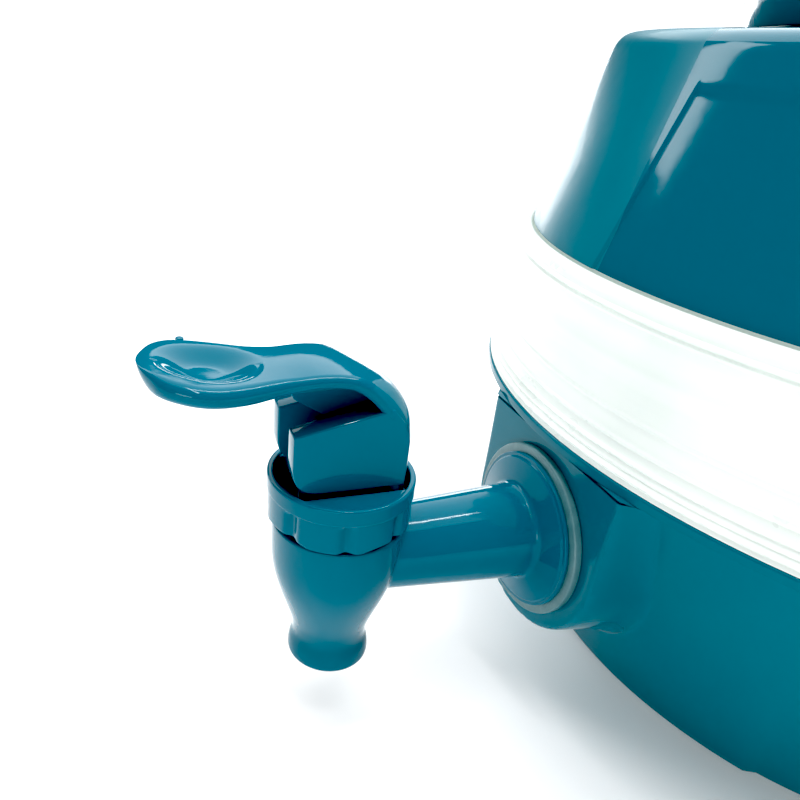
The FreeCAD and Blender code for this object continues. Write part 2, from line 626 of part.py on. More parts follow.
def seat_cup():
    """Rubber plug that closes the throat."""
    top = CUP_Z + CUP_H
    pocket = top - CUP_POCKET
    return turned([
        (0, CUP_Z), (CUP_R - 0.8, CUP_Z), (CUP_R, CUP_Z + 0.8), (CUP_R, CUP_Z + 2.4),
        (SPRING_R + 1.2, top), (VALVE_R, top), (VALVE_R, pocket), (0, pocket)], TAP_Y)


def return_spring():
    """Coil spring around the valve rod, between the cup and the bonnet."""
    low = CUP_Z + CUP_H + WIRE_R + 0.05
    high = BONNET_UNDER - WIRE_R - 0.05
    path = Part.makeHelix(SPRING_PITCH, high - low, SPRING_R)
    path.translate(V(0, TAP_Y, low))
    start = V(SPRING_R, TAP_Y, low)
    section = Part.Wire(Part.Circle(start, Y_AXIS, WIRE_R).toShape())
    return Part.Wire(path.Edges).makePipeShell([section], True, True)


def lever_side(drop):
    """Side outline of the lever's skin, lowered by drop, as a closed wire in the plane x = 0."""
    skin = [
        (PADDLE_TIP, 19.6), (-34.0, 19.3), (DISH_Y, PADDLE_RISE), (-20.0, 17.7), (-14.0, 17.8), (-8.0, 18.1),
        (-2.8, 17.6), (3.0, 15.9), (8.2, 12.6), (12.0, 7.8), (13.2, 2.5), (BACK_Y, -3.0)]
    curve = Part.BSplineCurve()
    points = [V(0, TAP_Y + y - BACK_LEAN * drop * (y > 6), TRUNNION_Z + rise - drop) for y, rise in skin]
    curve.interpolate(points)
    first = curve.value(curve.FirstParameter)
    last = curve.value(curve.LastParameter)
    foot = V(0, last.y, CHEEK_BOTTOM - drop)
    front = V(0, first.y, CHEEK_BOTTOM - drop)
    lines = [Part.makeLine(last, foot), Part.makeLine(foot, front), Part.makeLine(front, first)]
    return Part.Wire([curve.toShape()] + lines)


def lever_plan(inset):
    """Plan outline of the lever, paddle, neck and crowned back, shrunk by inset."""
    half = [
        (PADDLE_TIP + 2.6, 0.66 * PADDLE_HALF), (-34.0, 0.93 * PADDLE_HALF), (PADDLE_Y, PADDLE_HALF),
        (-22.0, 0.9 * PADDLE_HALF), (-16.5, NECK_HALF + 0.6), (NECK_Y, NECK_HALF), (0.0, BACK_HALF),
        (BACK_Y - BACK_CROWN, BACK_HALF - 0.4)]
    right = [V(x - inset, TAP_Y + y, 0) for y, x in half]
    left = [V(-p.x, p.y, 0) for p in reversed(right)]
    back = V(0, TAP_Y + BACK_Y - inset, 0)
    tip = V(0, TAP_Y + PADDLE_TIP + inset, 0)
    right_curve = Part.BSplineCurve()
    right_curve.interpolate([tip] + right, InitialTangent=V(1, 0, 0), FinalTangent=V(0, 1, 0))
    left_curve = Part.BSplineCurve()
    left_curve.interpolate(left + [tip], InitialTangent=V(0, -1, 0), FinalTangent=V(1, 0, 0))
    crown = Part.Arc(right[-1], back, left[0]).toShape()
    return Part.Wire([right_curve.toShape(), crown, left_curve.toShape()])


def lever_block(inset, drop):
    """Solid under the lever's skin, from its side outline and its plan outline."""
    side = Part.Face(lever_side(drop)).extrude(V(2 * PADDLE_HALF, 0, 0))
    side.translate(V(-PADDLE_HALF, 0, 0))
    plan = Part.Face(lever_plan(inset)).extrude(V(0, 0, 2 * BONNET_TOP))
    return side.common(plan)


def lever_cheek(side):
    """One cheek of the lever: sloping top edge, rounded front corner and a cam foot inside it."""
    round_front = [
        (CHEEK_FRONT, CHEEK_BOTTOM + CHEEK_ROUND),
        (CHEEK_FRONT + 0.3 * CHEEK_ROUND, CHEEK_BOTTOM + 0.3 * CHEEK_ROUND),
        (CHEEK_FRONT + CHEEK_ROUND, CHEEK_BOTTOM)]
    outline = [(CHEEK_FRONT, CHEEK_FRONT_TOP)] + round_front + [
        (BACK_Y - BACK_CROWN, CHEEK_BOTTOM), (BACK_Y - BACK_CROWN, CHEEK_BACK_TOP - 1), (6.5, CHEEK_BACK_TOP)]
    cam = [
        (CAM_FRONT, CHEEK_BOTTOM + CHEEK_ROUND), (CAM_FRONT, CAM_Z + CAM_ROUND),
        (CAM_FRONT + 0.3 * CAM_ROUND, CAM_Z + 0.3 * CAM_ROUND), (CAM_FRONT + CAM_ROUND, CAM_Z),
        (CAM_BACK, CAM_Z), (CAM_BACK, CHEEK_BOTTOM + CHEEK_ROUND)]
    cheek_x = sorted((side * CHEEK_INNER, side * CHEEK_OUTER))
    cam_x = sorted((side * CHEEK_INNER, side * FOOT_OUTER))
    plate = side_plate(outline, cheek_x[0], cheek_x[1], TAP_Y)
    return plate.fuse(side_plate(cam, cam_x[0], cam_x[1], TAP_Y))


def lever():
    """Thumb lever: dished paddle, skin over the back, two cheeks with cam feet and a centre web."""
    skin = lever_block(0.0, 0.0).cut(lever_block(SHEET, SHEET))
    underside = lever_block(-SHEET, SHEET)
    open_front = block((-PADDLE_HALF, TAP_Y + PADDLE_TIP, 0), (PADDLE_HALF, TAP_Y + 4.0, 2 * BONNET_TOP))
    skin = skin.cut(underside.common(open_front))
    web = side_plate(
        [(y, TRUNNION_Z + rise) for y, rise in WEB_SIDE], -WEB_HALF, WEB_HALF, TAP_Y)
    body = skin.fuse(web).fuse(lever_cheek(-1)).fuse(lever_cheek(1))
    end = TRUNNION_END + TRUNNION_END_GAP
    body = body.cut(along_x(TRUNNION_R + TRUNNION_FIT, -end, end, TAP_Y, TRUNNION_Z))
    ball = Part.makeSphere(1.0)
    stretch = FreeCAD.Matrix()
    stretch.scale(DISH_HALF_X, DISH_HALF_Y, 2 * DISH_DEPTH)
    dish = ball.transformGeometry(stretch)
    dish.translate(V(0, TAP_Y + DISH_Y, TRUNNION_Z + PADDLE_RISE + DISH_DEPTH))
    return body.cut(dish)


def single(shape, name):
    """The one solid of a shape, or an error that names the node."""
    if len(shape.Solids) != 1:
        raise ValueError(name + " has " + str(len(shape.Solids)) + " solids")
    return shape.Solids[0]


nodes = {
    "base_tub": base_tub(),
    "bellows": bellows(),
    "lower_clamp_ring": lower_clamp_ring(),
    "upper_clamp_ring": upper_clamp_ring(),
    "shoulder_shell": shoulder_shell(),
    "handle_pivot_right": handle_pivot(1),
    "handle_pivot_left": handle_pivot(-1),
    "carry_handle": carry_handle(),
    "lid": lid(),
    "lid_seal": lid_seal(),
    "tap_body": tap_body(),
    "outer_gasket": outer_gasket(),
    "inner_gasket": inner_gasket(),
    "lock_nut": lock_nut(),
    "bonnet": bonnet(),
    "valve_stem": valve_stem(),
    "seat_cup": seat_cup(),
    "return_spring": return_spring(),
    "lever": lever(),
}
for number, (foot_x, foot_y) in enumerate(foot_places(), start=1):
    nodes["foot_pad_" + str(number)] = foot_pad(foot_x, foot_y)

os.makedirs("parts", exist_ok=True)
for node, shape in nodes.items():
    solid = single(shape, node)
    solid.exportStep("parts/" + node + ".step")
    box = solid.BoundBox
    print(node, "valid", solid.isValid(), "volume", round(solid.Volume),
          "box", [round(v, 1) for v in (box.XMin, box.XMax, box.YMin, box.YMax, box.ZMin, box.ZMax)])
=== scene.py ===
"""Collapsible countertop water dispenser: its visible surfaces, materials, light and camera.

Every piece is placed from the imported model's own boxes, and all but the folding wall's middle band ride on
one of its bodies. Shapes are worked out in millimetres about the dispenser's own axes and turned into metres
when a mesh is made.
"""

import logging
import math
from dataclasses import dataclass
from enum import Enum
from typing import Callable, Optional, Sequence, Union

import bmesh
import bpy
from mathutils import Matrix, Vector


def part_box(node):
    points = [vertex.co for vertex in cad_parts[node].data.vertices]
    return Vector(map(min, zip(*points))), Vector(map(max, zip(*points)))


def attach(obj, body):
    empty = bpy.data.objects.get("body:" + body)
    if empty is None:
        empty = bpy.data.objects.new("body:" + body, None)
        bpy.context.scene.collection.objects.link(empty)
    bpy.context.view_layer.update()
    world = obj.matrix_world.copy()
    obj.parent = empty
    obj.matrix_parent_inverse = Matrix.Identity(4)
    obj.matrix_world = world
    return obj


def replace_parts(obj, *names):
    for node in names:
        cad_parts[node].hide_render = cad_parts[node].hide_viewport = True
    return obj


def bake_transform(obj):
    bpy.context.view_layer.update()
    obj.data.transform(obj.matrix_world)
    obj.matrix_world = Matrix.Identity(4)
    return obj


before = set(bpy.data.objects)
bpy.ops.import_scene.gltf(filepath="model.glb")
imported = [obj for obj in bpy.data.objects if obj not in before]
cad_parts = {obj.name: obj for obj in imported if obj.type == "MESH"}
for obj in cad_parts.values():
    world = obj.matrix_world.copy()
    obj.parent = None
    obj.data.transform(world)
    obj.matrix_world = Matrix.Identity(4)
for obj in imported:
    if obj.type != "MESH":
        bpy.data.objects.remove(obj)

LOG = logging.getLogger("dispenser")
MM = 0.001
WELD = 1e-4

Point = tuple[float, float]
Warp = Callable[[float, float, float], Point]


class Axis(Enum):
    """Direction that a turned piece is turned about."""

    X = "x"
    Y = "y"
    Z = "z"


class Body(Enum):
    """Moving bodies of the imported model."""

    BASE = "base"
    TOP = "top_shell"
    HANDLE = "handle"
    LID = "lid"
    VALVE = "valve"
    LEVER = "lever"


@dataclass(frozen=True)
class Corner:
    """Corner of an outline, with the radius that rounds it.

    Args:
        r: distance from the axis, in millimetres.
        z: place along the axis, in millimetres.
        rounding: edge radius in millimetres.
    """

    r: float
    z: float
    rounding: float = 0.0


@dataclass(frozen=True)
class Extent:
    """Box of a node in millimetres.

    Args:
        low: lowest corner.
        high: highest corner.
    """

    low: Vector
    high: Vector

    @classmethod
    def of(cls, node: str) -> "Extent":
        """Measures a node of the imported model.

        Args:
            node: the node's name.

        Returns:
            Its box in millimetres.
        """
        low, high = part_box(node)
        return cls(low / MM, high / MM)

    @property
    def centre(self) -> Vector:
        """Middle of the box."""
        return (self.low + self.high) / 2

    @property
    def size(self) -> Vector:
        """Lengths of the box along X, Y and Z."""
        return self.high - self.low


# ---------------------------------------------------------------- shader graph


class Value:
    """A shader output that takes part in ordinary arithmetic."""

    def __init__(self, graph: "Graph", socket: bpy.types.NodeSocket) -> None:
        self.graph = graph
        self.socket = socket

    def _math(self, operation: str, left: "Operand", right: "Operand") -> "Value":
        return self.graph.node("ShaderNodeMath", {"operation": operation}, {0: left, 1: right})

    def __add__(self, other: "Operand") -> "Value":
        return self._math("ADD", self, other)

    def __radd__(self, other: "Operand") -> "Value":
        return self._math("ADD", other, self)

    def __sub__(self, other: "Operand") -> "Value":
        return self._math("SUBTRACT", self, other)

    def __rsub__(self, other: "Operand") -> "Value":
        return self._math("SUBTRACT", other, self)

    def __mul__(self, other: "Operand") -> "Value":
        return self._math("MULTIPLY", self, other)

    def above(self, limit: float) -> "Value":
        """One where this value is above limit, else zero."""
        return self._math("GREATER_THAN", self, limit)


Operand = Union[Value, float]


class Graph:
    """Node tree of one material."""

    def __init__(self, name: str) -> None:
        self.material = bpy.data.materials.new(name)
        self.material.use_nodes = True
        self.tree = self.material.node_tree
        self.surface = self.tree.nodes["Principled BSDF"]

    def node(self, kind: str, settings: Optional[dict] = None, inputs: Optional[dict] = None,
             output: Union[int, str] = 0) -> Value:
        """Adds a node and connects it.

        Args:
            kind: Blender's node type.
            settings: properties set on the node.
            inputs: sockets by name or number, each a Value or a constant.
            output: which output to hand back.

        Returns:
            The chosen output.
        """
        made = self.tree.nodes.new(kind)
        for key, setting in (settings or {}).items():
            setattr(made, key, setting)
        for key, given in (inputs or {}).items():
            if isinstance(given, Value):
                self.tree.links.new(given.socket, made.inputs[key])
            else:
                made.inputs[key].default_value = given
        return Value(self, made.outputs[output])

    def place(self) -> Value:
        """Position on the object, in metres."""
        return self.node("ShaderNodeTexCoord", output="Object")

    def noise(self, per_metre: float, detail: float = 2.0, where: Optional[Value] = None) -> Value:
        """Smooth noise.

        Args:
            per_metre: how many features fit in a metre.
            detail: octaves.
            where: coordinates, the object's own when left out.

        Returns:
            A value around one half.
        """
        settings = {"Vector": where or self.place(), "Scale": per_metre, "Detail": detail}
        return self.node("ShaderNodeTexNoise", inputs=settings)

    def stretch(self, scale: Sequence[float]) -> Value:
        """Object coordinates scaled along each axis."""
        inputs = {0: self.place(), 1: tuple(scale)}
        return self.node("ShaderNodeVectorMath", {"operation": "MULTIPLY"}, inputs)

    def front_strip(self, low: float, high: float) -> Value:
        """One on the front of the object where X lies between two limits, else zero."""
        across = self.node("ShaderNodeSeparateXYZ", inputs={0: self.place()}, output="X")
        depth = self.node("ShaderNodeSeparateXYZ", inputs={0: self.place()}, output="Y")
        return across.above(low) * (1.0 - across.above(high)) * (1.0 - depth.above(0.0))

    def blend(self, amount: Operand, low: Sequence[float], high: Sequence[float]) -> Value:
        """Mixes two colours by amount."""
        inputs = {"Factor": amount, 6: (*low, 1.0), 7: (*high, 1.0)}
        return self.node("ShaderNodeMix", {"data_type": "RGBA"}, inputs, 2)

    def bump(self, height: Value, distance: float, strength: float = 1.0) -> Value:
        """Surface relief.

        Args:
            height: the relief's height.
            distance: height in metres of a value of one.
            strength: share of the relief that is used.

        Returns:
            The bumped normal.
        """
        inputs = {"Height": height, "Distance": distance, "Strength": strength}
        return self.node("ShaderNodeBump", inputs=inputs, output="Normal")

    def feed(self, socket: str, given: Union[Value, float, tuple]) -> None:
        """Connects or sets one input of the surface."""
        if isinstance(given, Value):
            self.tree.links.new(given.socket, self.surface.inputs[socket])
        else:
            self.surface.inputs[socket].default_value = given


@dataclass(frozen=True)
class GlossPlastic:
    """Moulded high-gloss plastic.

    Args:
        name: the finish's name.
        deep: colour where the moulding is thick.
        light: colour where it is thin or faded.
        roughness: lowest roughness.
        coat: strength of the clear top layer.
        sheen: strength of the surface's own reflection.
        polished_and_shaded: range across the front, in metres, that is smoother and painted deeper in colour,
            a painted shade for its duller reflection.
    """

    name: str
    deep: tuple[float, float, float]
    light: tuple[float, float, float]
    roughness: float = 0.09
    coat: float = 0.06
    sheen: float = 0.22
    polished_and_shaded: Optional[tuple[float, float]] = None

    def material(self) -> bpy.types.Material:
        """Builds the material."""
        graph = Graph(self.name)
        cloud = graph.noise(38.0, 3.0)
        flow = graph.noise(9.0, 2.0, graph.stretch((1.0, 1.0, 3.2)))
        tint = cloud * 0.5 + flow * 0.5
        wiped = graph.noise(160.0, 4.0, graph.stretch((1.0, 2.5, 1.0)))
        rough = self.roughness + (wiped - 0.42) * 0.09
        if self.polished_and_shaded:
            inside = graph.front_strip(*self.polished_and_shaded)
            # Painted shade: the front panel's colour is pushed to the deep colour for its duller reflection;
            # its roughness is lowered too.
            tint = tint - inside * 0.9
            rough = rough - inside * (self.roughness - 0.1)
        graph.feed("Base Color", graph.blend(tint, self.deep, self.light))
        graph.feed("Roughness", rough)
        specks = graph.noise(2600.0, 1.0).above(0.77)
        ripple = graph.noise(95.0, 2.0) * 0.8 + graph.noise(1500.0, 2.0) * 0.04 + specks * 0.05
        graph.feed("Normal", graph.bump(ripple, 0.00022, 0.5))
        graph.feed("Coat Weight", self.coat + (cloud - 0.5) * 0.1)
        graph.feed("Coat Roughness", 0.035)
        graph.feed("IOR", 1.5)
        graph.feed("Specular IOR Level", self.sheen)
        return graph.material


@dataclass(frozen=True)
class MilkyWall:
    """Soft translucent folding wall with faint rings left by the mould.

    Args:
        name: the finish's name.
        low: colour of the faint rings.
        high: colour of the wall.
        through: share of light that passes straight through.
        glow: strength of a painted glow, emission in the wall's colours that stands in for light passing
            through the wall.
    """

    name: str
    low: tuple[float, float, float]
    high: tuple[float, float, float]
    through: float = 0.06
    glow: float = 0.14

    def material(self) -> bpy.types.Material:
        """Builds the material."""
        graph = Graph(self.name)
        rings = graph.noise(1.0, 2.0, graph.stretch((6.0, 6.0, 300.0)))
        broad = graph.noise(1.0, 1.0, graph.stretch((5.0, 5.0, 95.0)))
        mottle = graph.noise(70.0, 3.0)
        tint = rings * 0.3 + broad * 0.5 + mottle * 0.2
        graph.feed("Base Color", graph.blend((tint - 0.25) * 1.8, self.low, self.high))
        graph.feed("Roughness", 0.22 + mottle * 0.16)
        graph.feed("Normal", graph.bump(rings * 0.7 + graph.noise(900.0, 2.0) * 0.1, 0.0002, 0.35))
        graph.feed("Coat Weight", 0.15 + (mottle - 0.5) * 0.1)
        # Painted glow: the wall emits its own colours in place of light shining through it.
        graph.feed("Emission Color", graph.blend(tint, self.low, self.high))
        graph.feed("Emission Strength", self.glow)
        graph.feed("Transmission Weight", self.through)
        graph.feed("IOR", 1.42)
        graph.feed("Subsurface Weight", 0.25)
        graph.feed("Subsurface Radius", (0.004, 0.0045, 0.0045))
        graph.feed("Subsurface Scale", 1.0)
        return graph.material


@dataclass(frozen=True)
class Rubber:
    """Rubber, from matt black to cloudy grey.

    Args:
        name: the finish's name.
        dark: colour of the grain's low places.
        pale: colour of its high places.
        roughness: middle roughness.
        through: share of light that passes through.
    """

    name: str
    dark: tuple[float, float, float]
    pale: tuple[float, float, float]
    roughness: float = 0.45
    through: float = 0.0

    def material(self) -> bpy.types.Material:
        """Builds the material."""
        graph = Graph(self.name)
        grain = graph.noise(1400.0, 3.0)
        cloud = graph.noise(240.0, 3.0)
        graph.feed("Base Color", graph.blend(grain * 0.35 + cloud * 0.65, self.dark, self.pale))
        graph.feed("Roughness", self.roughness + (grain - 0.5) * 0.3)
        graph.feed("Normal", graph.bump(grain + cloud * 0.6, 0.00012, 0.7))
        graph.feed("Transmission Weight", self.through)
        graph.feed("Subsurface Weight", 0.12)
        graph.feed("Subsurface Radius", (0.001, 0.0014, 0.0014))
        graph.feed("Subsurface Scale", 1.0)
        return graph.material


@dataclass(frozen=True)
class Wire:
    """Drawn spring wire.

    Args:
        name: the finish's name.
        colour: the metal's colour.
    """

    name: str
    colour: tuple[float, float, float]

    def material(self) -> bpy.types.Material:
        """Builds the material."""
        graph = Graph(self.name)
        lines = graph.noise(1.0, 3.0, graph.stretch((900.0, 900.0, 5200.0)))
        dull = tuple(0.7 * c for c in self.colour)
        graph.feed("Base Color", graph.blend(lines, dull, self.colour))
        graph.feed("Metallic", 1.0)
        graph.feed("Roughness", 0.22 + lines * 0.2)
        graph.feed("Normal", graph.bump(lines, 0.00004, 0.6))
        return graph.material


@dataclass(frozen=True)
class Paper:
    """Seamless studio floor.

    Args:
        name: the finish's name.
        shade: the paper's brightness.
        glow: light that it adds by itself, so that it reads as white.
    """

    name: str
    shade: float
    glow: float

    def material(self) -> bpy.types.Material:
        """Builds the material."""
        graph = Graph(self.name)
        fibre = graph.noise(700.0, 3.0)
        low = (self.shade * 0.985,) * 3
        high = (self.shade,) * 3
        graph.feed("Base Color", graph.blend(fibre, low, high))
        graph.feed("Roughness", 0.75 + fibre * 0.1)
        graph.feed("Normal", graph.bump(fibre, 0.00003, 0.4))
        graph.feed("Emission Color", graph.blend(fibre, high, (1.0, 1.0, 1.0)))
        graph.feed("Emission Strength", self.glow)
        return graph.material


FINISHES = {
    "teal_shell": GlossPlastic("teal_shell", (0.0, 0.12, 0.18), (0.0, 0.15, 0.21), 0.13),
    "teal_shoulder": GlossPlastic(
        "teal_shoulder", (0.0, 0.125, 0.19), (0.003, 0.165, 0.225), 0.34, 0.1, 0.5, (-0.0045, 0.062)),
    "teal_tap": GlossPlastic("teal_tap", (0.0, 0.105, 0.17), (0.0, 0.135, 0.205), 0.07),
    "clear_bellows": MilkyWall("clear_bellows", (0.66, 0.73, 0.69), (0.95, 0.98, 0.96)),
    "grey_rubber": Rubber("grey_rubber", (0.05, 0.12, 0.145), (0.17, 0.29, 0.31), 0.38, 0.05),
    "dark_rubber": Rubber("dark_rubber", (0.012, 0.014, 0.015), (0.035, 0.038, 0.04), 0.6),
    "white_plastic": GlossPlastic("white_plastic", (0.62, 0.64, 0.64), (0.74, 0.76, 0.76), 0.3, 0.05),
    "spring_steel": Wire("spring_steel", (0.55, 0.55, 0.53)),
}


SLOTS = {"teal_shoulder": "teal_shell"}


class Palette:
    """Materials by finish name, each made once."""

    def __init__(self) -> None:
        self.made: dict[str, bpy.types.Material] = {}

    def get(self, finish: str) -> bpy.types.Material:
        """Gives the material of a finish, making it the first time."""
        if finish not in self.made:
            self.made[finish] = FINISHES[finish].material()
        return self.made[finish]


PALETTE = Palette()


# ---------------------------------------------------------------- outlines


def rounded(corners: Sequence[Corner], closed: bool = True, pieces: int = 6) -> list[Point]:
    """Outline with its corners rounded.

    Args:
        corners: the outline's corners in order.
        closed: whether the last corner joins the first.
        pieces: segments of each rounded corner.

    Returns:
        The outline's points in millimetres.
    """
    points: list[Point] = []
    count = len(corners)
    for k, corner in enumerate(corners):
        here = Vector((corner.r, corner.z))
        end = not closed and k in (0, count - 1)
        if end or corner.rounding <= 0:
            points.append((here.x, here.y))
            continue
        before = corners[k - 1]
        after = corners[(k + 1) % count]
        back = Vector((before.r, before.z)) - here
        on = Vector((after.r, after.z)) - here
        half_angle = back.angle(on) / 2
        reach = corner.rounding / max(math.tan(half_angle), 1e-3)
        reach = min(reach, 0.48 * back.length, 0.48 * on.length)
        start = here + back.normalized() * reach
        finish = here + on.normalized() * reach
        for j in range(pieces + 1):
            t = j / pieces
            p = start * (1 - t) ** 2 + here * 2 * t * (1 - t) + finish * t ** 2
            points.append((p.x, p.y))
    return points


def subdivided(points: Sequence[Point], step: float) -> list[Point]:
    """Open outline with long runs divided, so that it can be warped.

    Args:
        points: the outline.
        step: longest run that is kept, in millimetres.

    Returns:
        The outline with points added on its long runs.
    """
    dense = [points[0]]
    for (r0, z0), (r1, z1) in zip(points, points[1:]):
        runs = max(1, math.ceil(math.hypot(r1 - r0, z1 - z0) / step))
        for j in range(1, runs + 1):
            t = j / runs
            dense.append((r0 + (r1 - r0) * t, z0 + (z1 - z0) * t))
    return dense


def flowing(points: Sequence[tuple[float, ...]], per_span: int) -> list[tuple[float, ...]]:
    """Smooth curve through a few points.

    Args:
        points: stations of any dimension.
        per_span: samples between neighbours.

    Returns:
        Samples of the curve, the stations included.
    """
    curve: list[tuple[float, ...]] = []
    last = len(points) - 1
    for k in range(last):
        p0, p1 = points[max(k - 1, 0)], points[k]
        p2, p3 = points[k + 1], points[min(k + 2, last)]
        for j in range(per_span):
            t = j / per_span
            sample = tuple(
                0.5 * (2 * b + (c - a) * t + (2 * a - 5 * b + 4 * c - d) * t ** 2
                       + (3 * b - a - 3 * c + d) * t ** 3)
                for a, b, c, d in zip(p0, p1, p2, p3))
            curve.append(sample)
    curve.append(tuple(points[-1]))
    return curve


def smoothstep(low: float, high: float, value: float) -> float:
    """Zero below low, one above high, and smooth between."""
    t = min(max((value - low) / (high - low), 0.0), 1.0)
    return t * t * (3 - 2 * t)


def even_angles(count: int) -> list[float]:
    """Equal steps round a full turn, in radians."""
    return [2 * math.pi * k / count for k in range(count)]


def angles_with(fine: Sequence[tuple[float, float]], fine_step: float, coarse_step: float) -> list[float]:
    """Steps round a full turn that are fine within some ranges, all in degrees.

    Args:
        fine: ranges that need detail.
        fine_step: step inside them.
        coarse_step: step elsewhere.

    Returns:
        Angles in radians, from -180 to 180 degrees.
    """
    angles = []
    angle = -180.0
    while angle < 180.0 - 1e-6:
        angles.append(math.radians(angle))
        inside = any(low - 1e-9 <= angle < high for low, high in fine)
        step = fine_step if inside else coarse_step
        ahead = [low for low, _ in fine if angle < low < angle + step]
        angle = ahead[0] if ahead else angle + step
    return angles


# ---------------------------------------------------------------- mesh makers


def linked(name: str, data: Optional[bpy.types.ID]) -> bpy.types.Object:
    """Makes an object of some data and adds it to the scene."""
    made = bpy.data.objects.new(name, data)
    bpy.context.scene.collection.objects.link(made)
    return made


def mesh_data(name: str, mesh: bmesh.types.BMesh, finish: str) -> bpy.types.Mesh:
    """Turns a mesh in millimetres into smooth mesh data in metres with its material."""
    bmesh.ops.recalc_face_normals(mesh, faces=mesh.faces)
    bmesh.ops.scale(mesh, vec=(MM, MM, MM), verts=mesh.verts)
    data = bpy.data.meshes.new(name)
    mesh.to_mesh(data)
    mesh.free()
    data.polygons.foreach_set("use_smooth", [True] * len(data.polygons))
    data.materials.append(PALETTE.get(finish))
    return data


def side_name(side: int) -> str:
    """Word for the side of a piece: left for -1 and right for 1."""
    return "left" if side < 0 else "right"


def finish_piece(name: str, mesh: bmesh.types.BMesh, finish: str, body: Body,
                 sharp: float = 35.0) -> bpy.types.Object:
    """Turns a mesh in millimetres into an object that rides on a body.

    Args:
        name: the piece's name.
        mesh: its mesh.
        finish: name of its finish.
        body: body that it moves with.
        sharp: angle in degrees above which an edge is crisp.

    Returns:
        The new object.
    """
    bmesh.ops.remove_doubles(mesh, verts=mesh.verts, dist=WELD)
    data = mesh_data(name, mesh, finish)
    data.set_sharp_from_angle(angle=math.radians(sharp))
    piece = linked(name, data)
    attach(piece, body.value)
    SLOTS.get(finish, finish)
    LOG.info("%s: %d faces", name, len(data.polygons))
    return piece


def about(axis: Axis, centre: Vector, angle: float, r: float, along: float) -> Vector:
    """Point of a turned piece. Angle zero is towards the tap on an upright axis."""
    across, up = r * math.sin(angle), r * math.cos(angle)
    if axis is Axis.Z:
        return Vector((centre.x + across, centre.y - up, along))
    if axis is Axis.Y:
        return Vector((centre.x + across, along, centre.z + up))
    return Vector((along, centre.y + across, centre.z + up))


def skin_loops(loops: Sequence[Sequence[Vector]], close_rings: bool, cap: bool = False) -> bmesh.types.BMesh:
    """Mesh through rows of points, each row a closed ring.

    Args:
        loops: rows with the same number of points.
        close_rings: whether the last row joins the first.
        cap: whether the first and last rows are filled.

    Returns:
        The mesh.
    """
    mesh = bmesh.new()
    rows = [[mesh.verts.new(p) for p in loop] for loop in loops]
    pairs = list(zip(rows, rows[1:]))
    if close_rings:
        pairs.append((rows[-1], rows[0]))
    for lower, upper in pairs:
        for k in range(len(lower)):
            n = (k + 1) % len(lower)
            mesh.faces.new((lower[k], lower[n], upper[n], upper[k]))
    if cap:
        mesh.faces.new(rows[0])
        mesh.faces.new(rows[-1])
    return mesh


def turned(outline: Sequence[Point], axis: Axis = Axis.Z, centre: Vector = Vector((0, 0, 0)),
           angles: Optional[Sequence[float]] = None, closed: bool = True,
           warp: Optional[Warp] = None) -> bmesh.types.BMesh:
    """Turns an outline about an axis.

    Args:
        outline: (radius, place along the axis) points.
        axis: the axis's direction.
        centre: a point on the axis.
        angles: directions of the outline's copies.
        closed: whether the outline's end joins its start.
        warp: moves a point, given its angle, radius and place.

    Returns:
        The mesh in millimetres.
    """
    turns = list(angles or even_angles(160))
    loops = []
    for r, along in outline:
        loop = []
        for angle in turns:
            there = warp(angle, r, along) if warp else (r, along)
            loop.append(about(axis, centre, angle, *there))
        loops.append(loop)
    return skin_loops(loops, closed)


def plate(outline: Sequence[Point], low: float, high: float, edge: float,
          flat: Axis = Axis.X, pieces: int = 3) -> bmesh.types.BMesh:
    """Plate with rounded edges from an outline in the plane across an axis.

    Args:
        outline: points (y, z) for a plate across X, or (x, y) for one across Z.
        low: where its thickness starts.
        high: where it ends.
        edge: edge rounding in millimetres.
        flat: direction of its thickness.
        pieces: segments of the rounding.

    Returns:
        The mesh in millimetres.
    """
    mesh = bmesh.new()
    spots = [Vector((low, a, b)) if flat is Axis.X else Vector((a, b, low)) for a, b in outline]
    face = mesh.faces.new([mesh.verts.new(p) for p in spots])
    grown = bmesh.ops.extrude_face_region(mesh, geom=[face])
    moved = [v for v in grown["geom"] if isinstance(v, bmesh.types.BMVert)]
    shift = Vector((high - low, 0, 0)) if flat is Axis.X else Vector((0, 0, high - low))
    bmesh.ops.translate(mesh, verts=moved, vec=shift)
    bmesh.ops.recalc_face_normals(mesh, faces=mesh.faces)
    sharp = [e for e in mesh.edges if e.calc_face_angle(0.0) > math.radians(25)]
    bmesh.ops.bevel(
        mesh, geom=sharp, offset=edge, segments=pieces, profile=0.5, affect="EDGES", clamp_overlap=True)
    return mesh


def joined(meshes: Sequence[bmesh.types.BMesh]) -> bmesh.types.BMesh:
    """One mesh from several."""
    whole = bmesh.new()
    for part in meshes:
        part.normal_update()
        data = bpy.data.meshes.new("joining")
        part.to_mesh(data)
        part.free()
        whole.from_mesh(data)
        bpy.data.meshes.remove(data)
    return whole


# ---------------------------------------------------------------- sub-assemblies


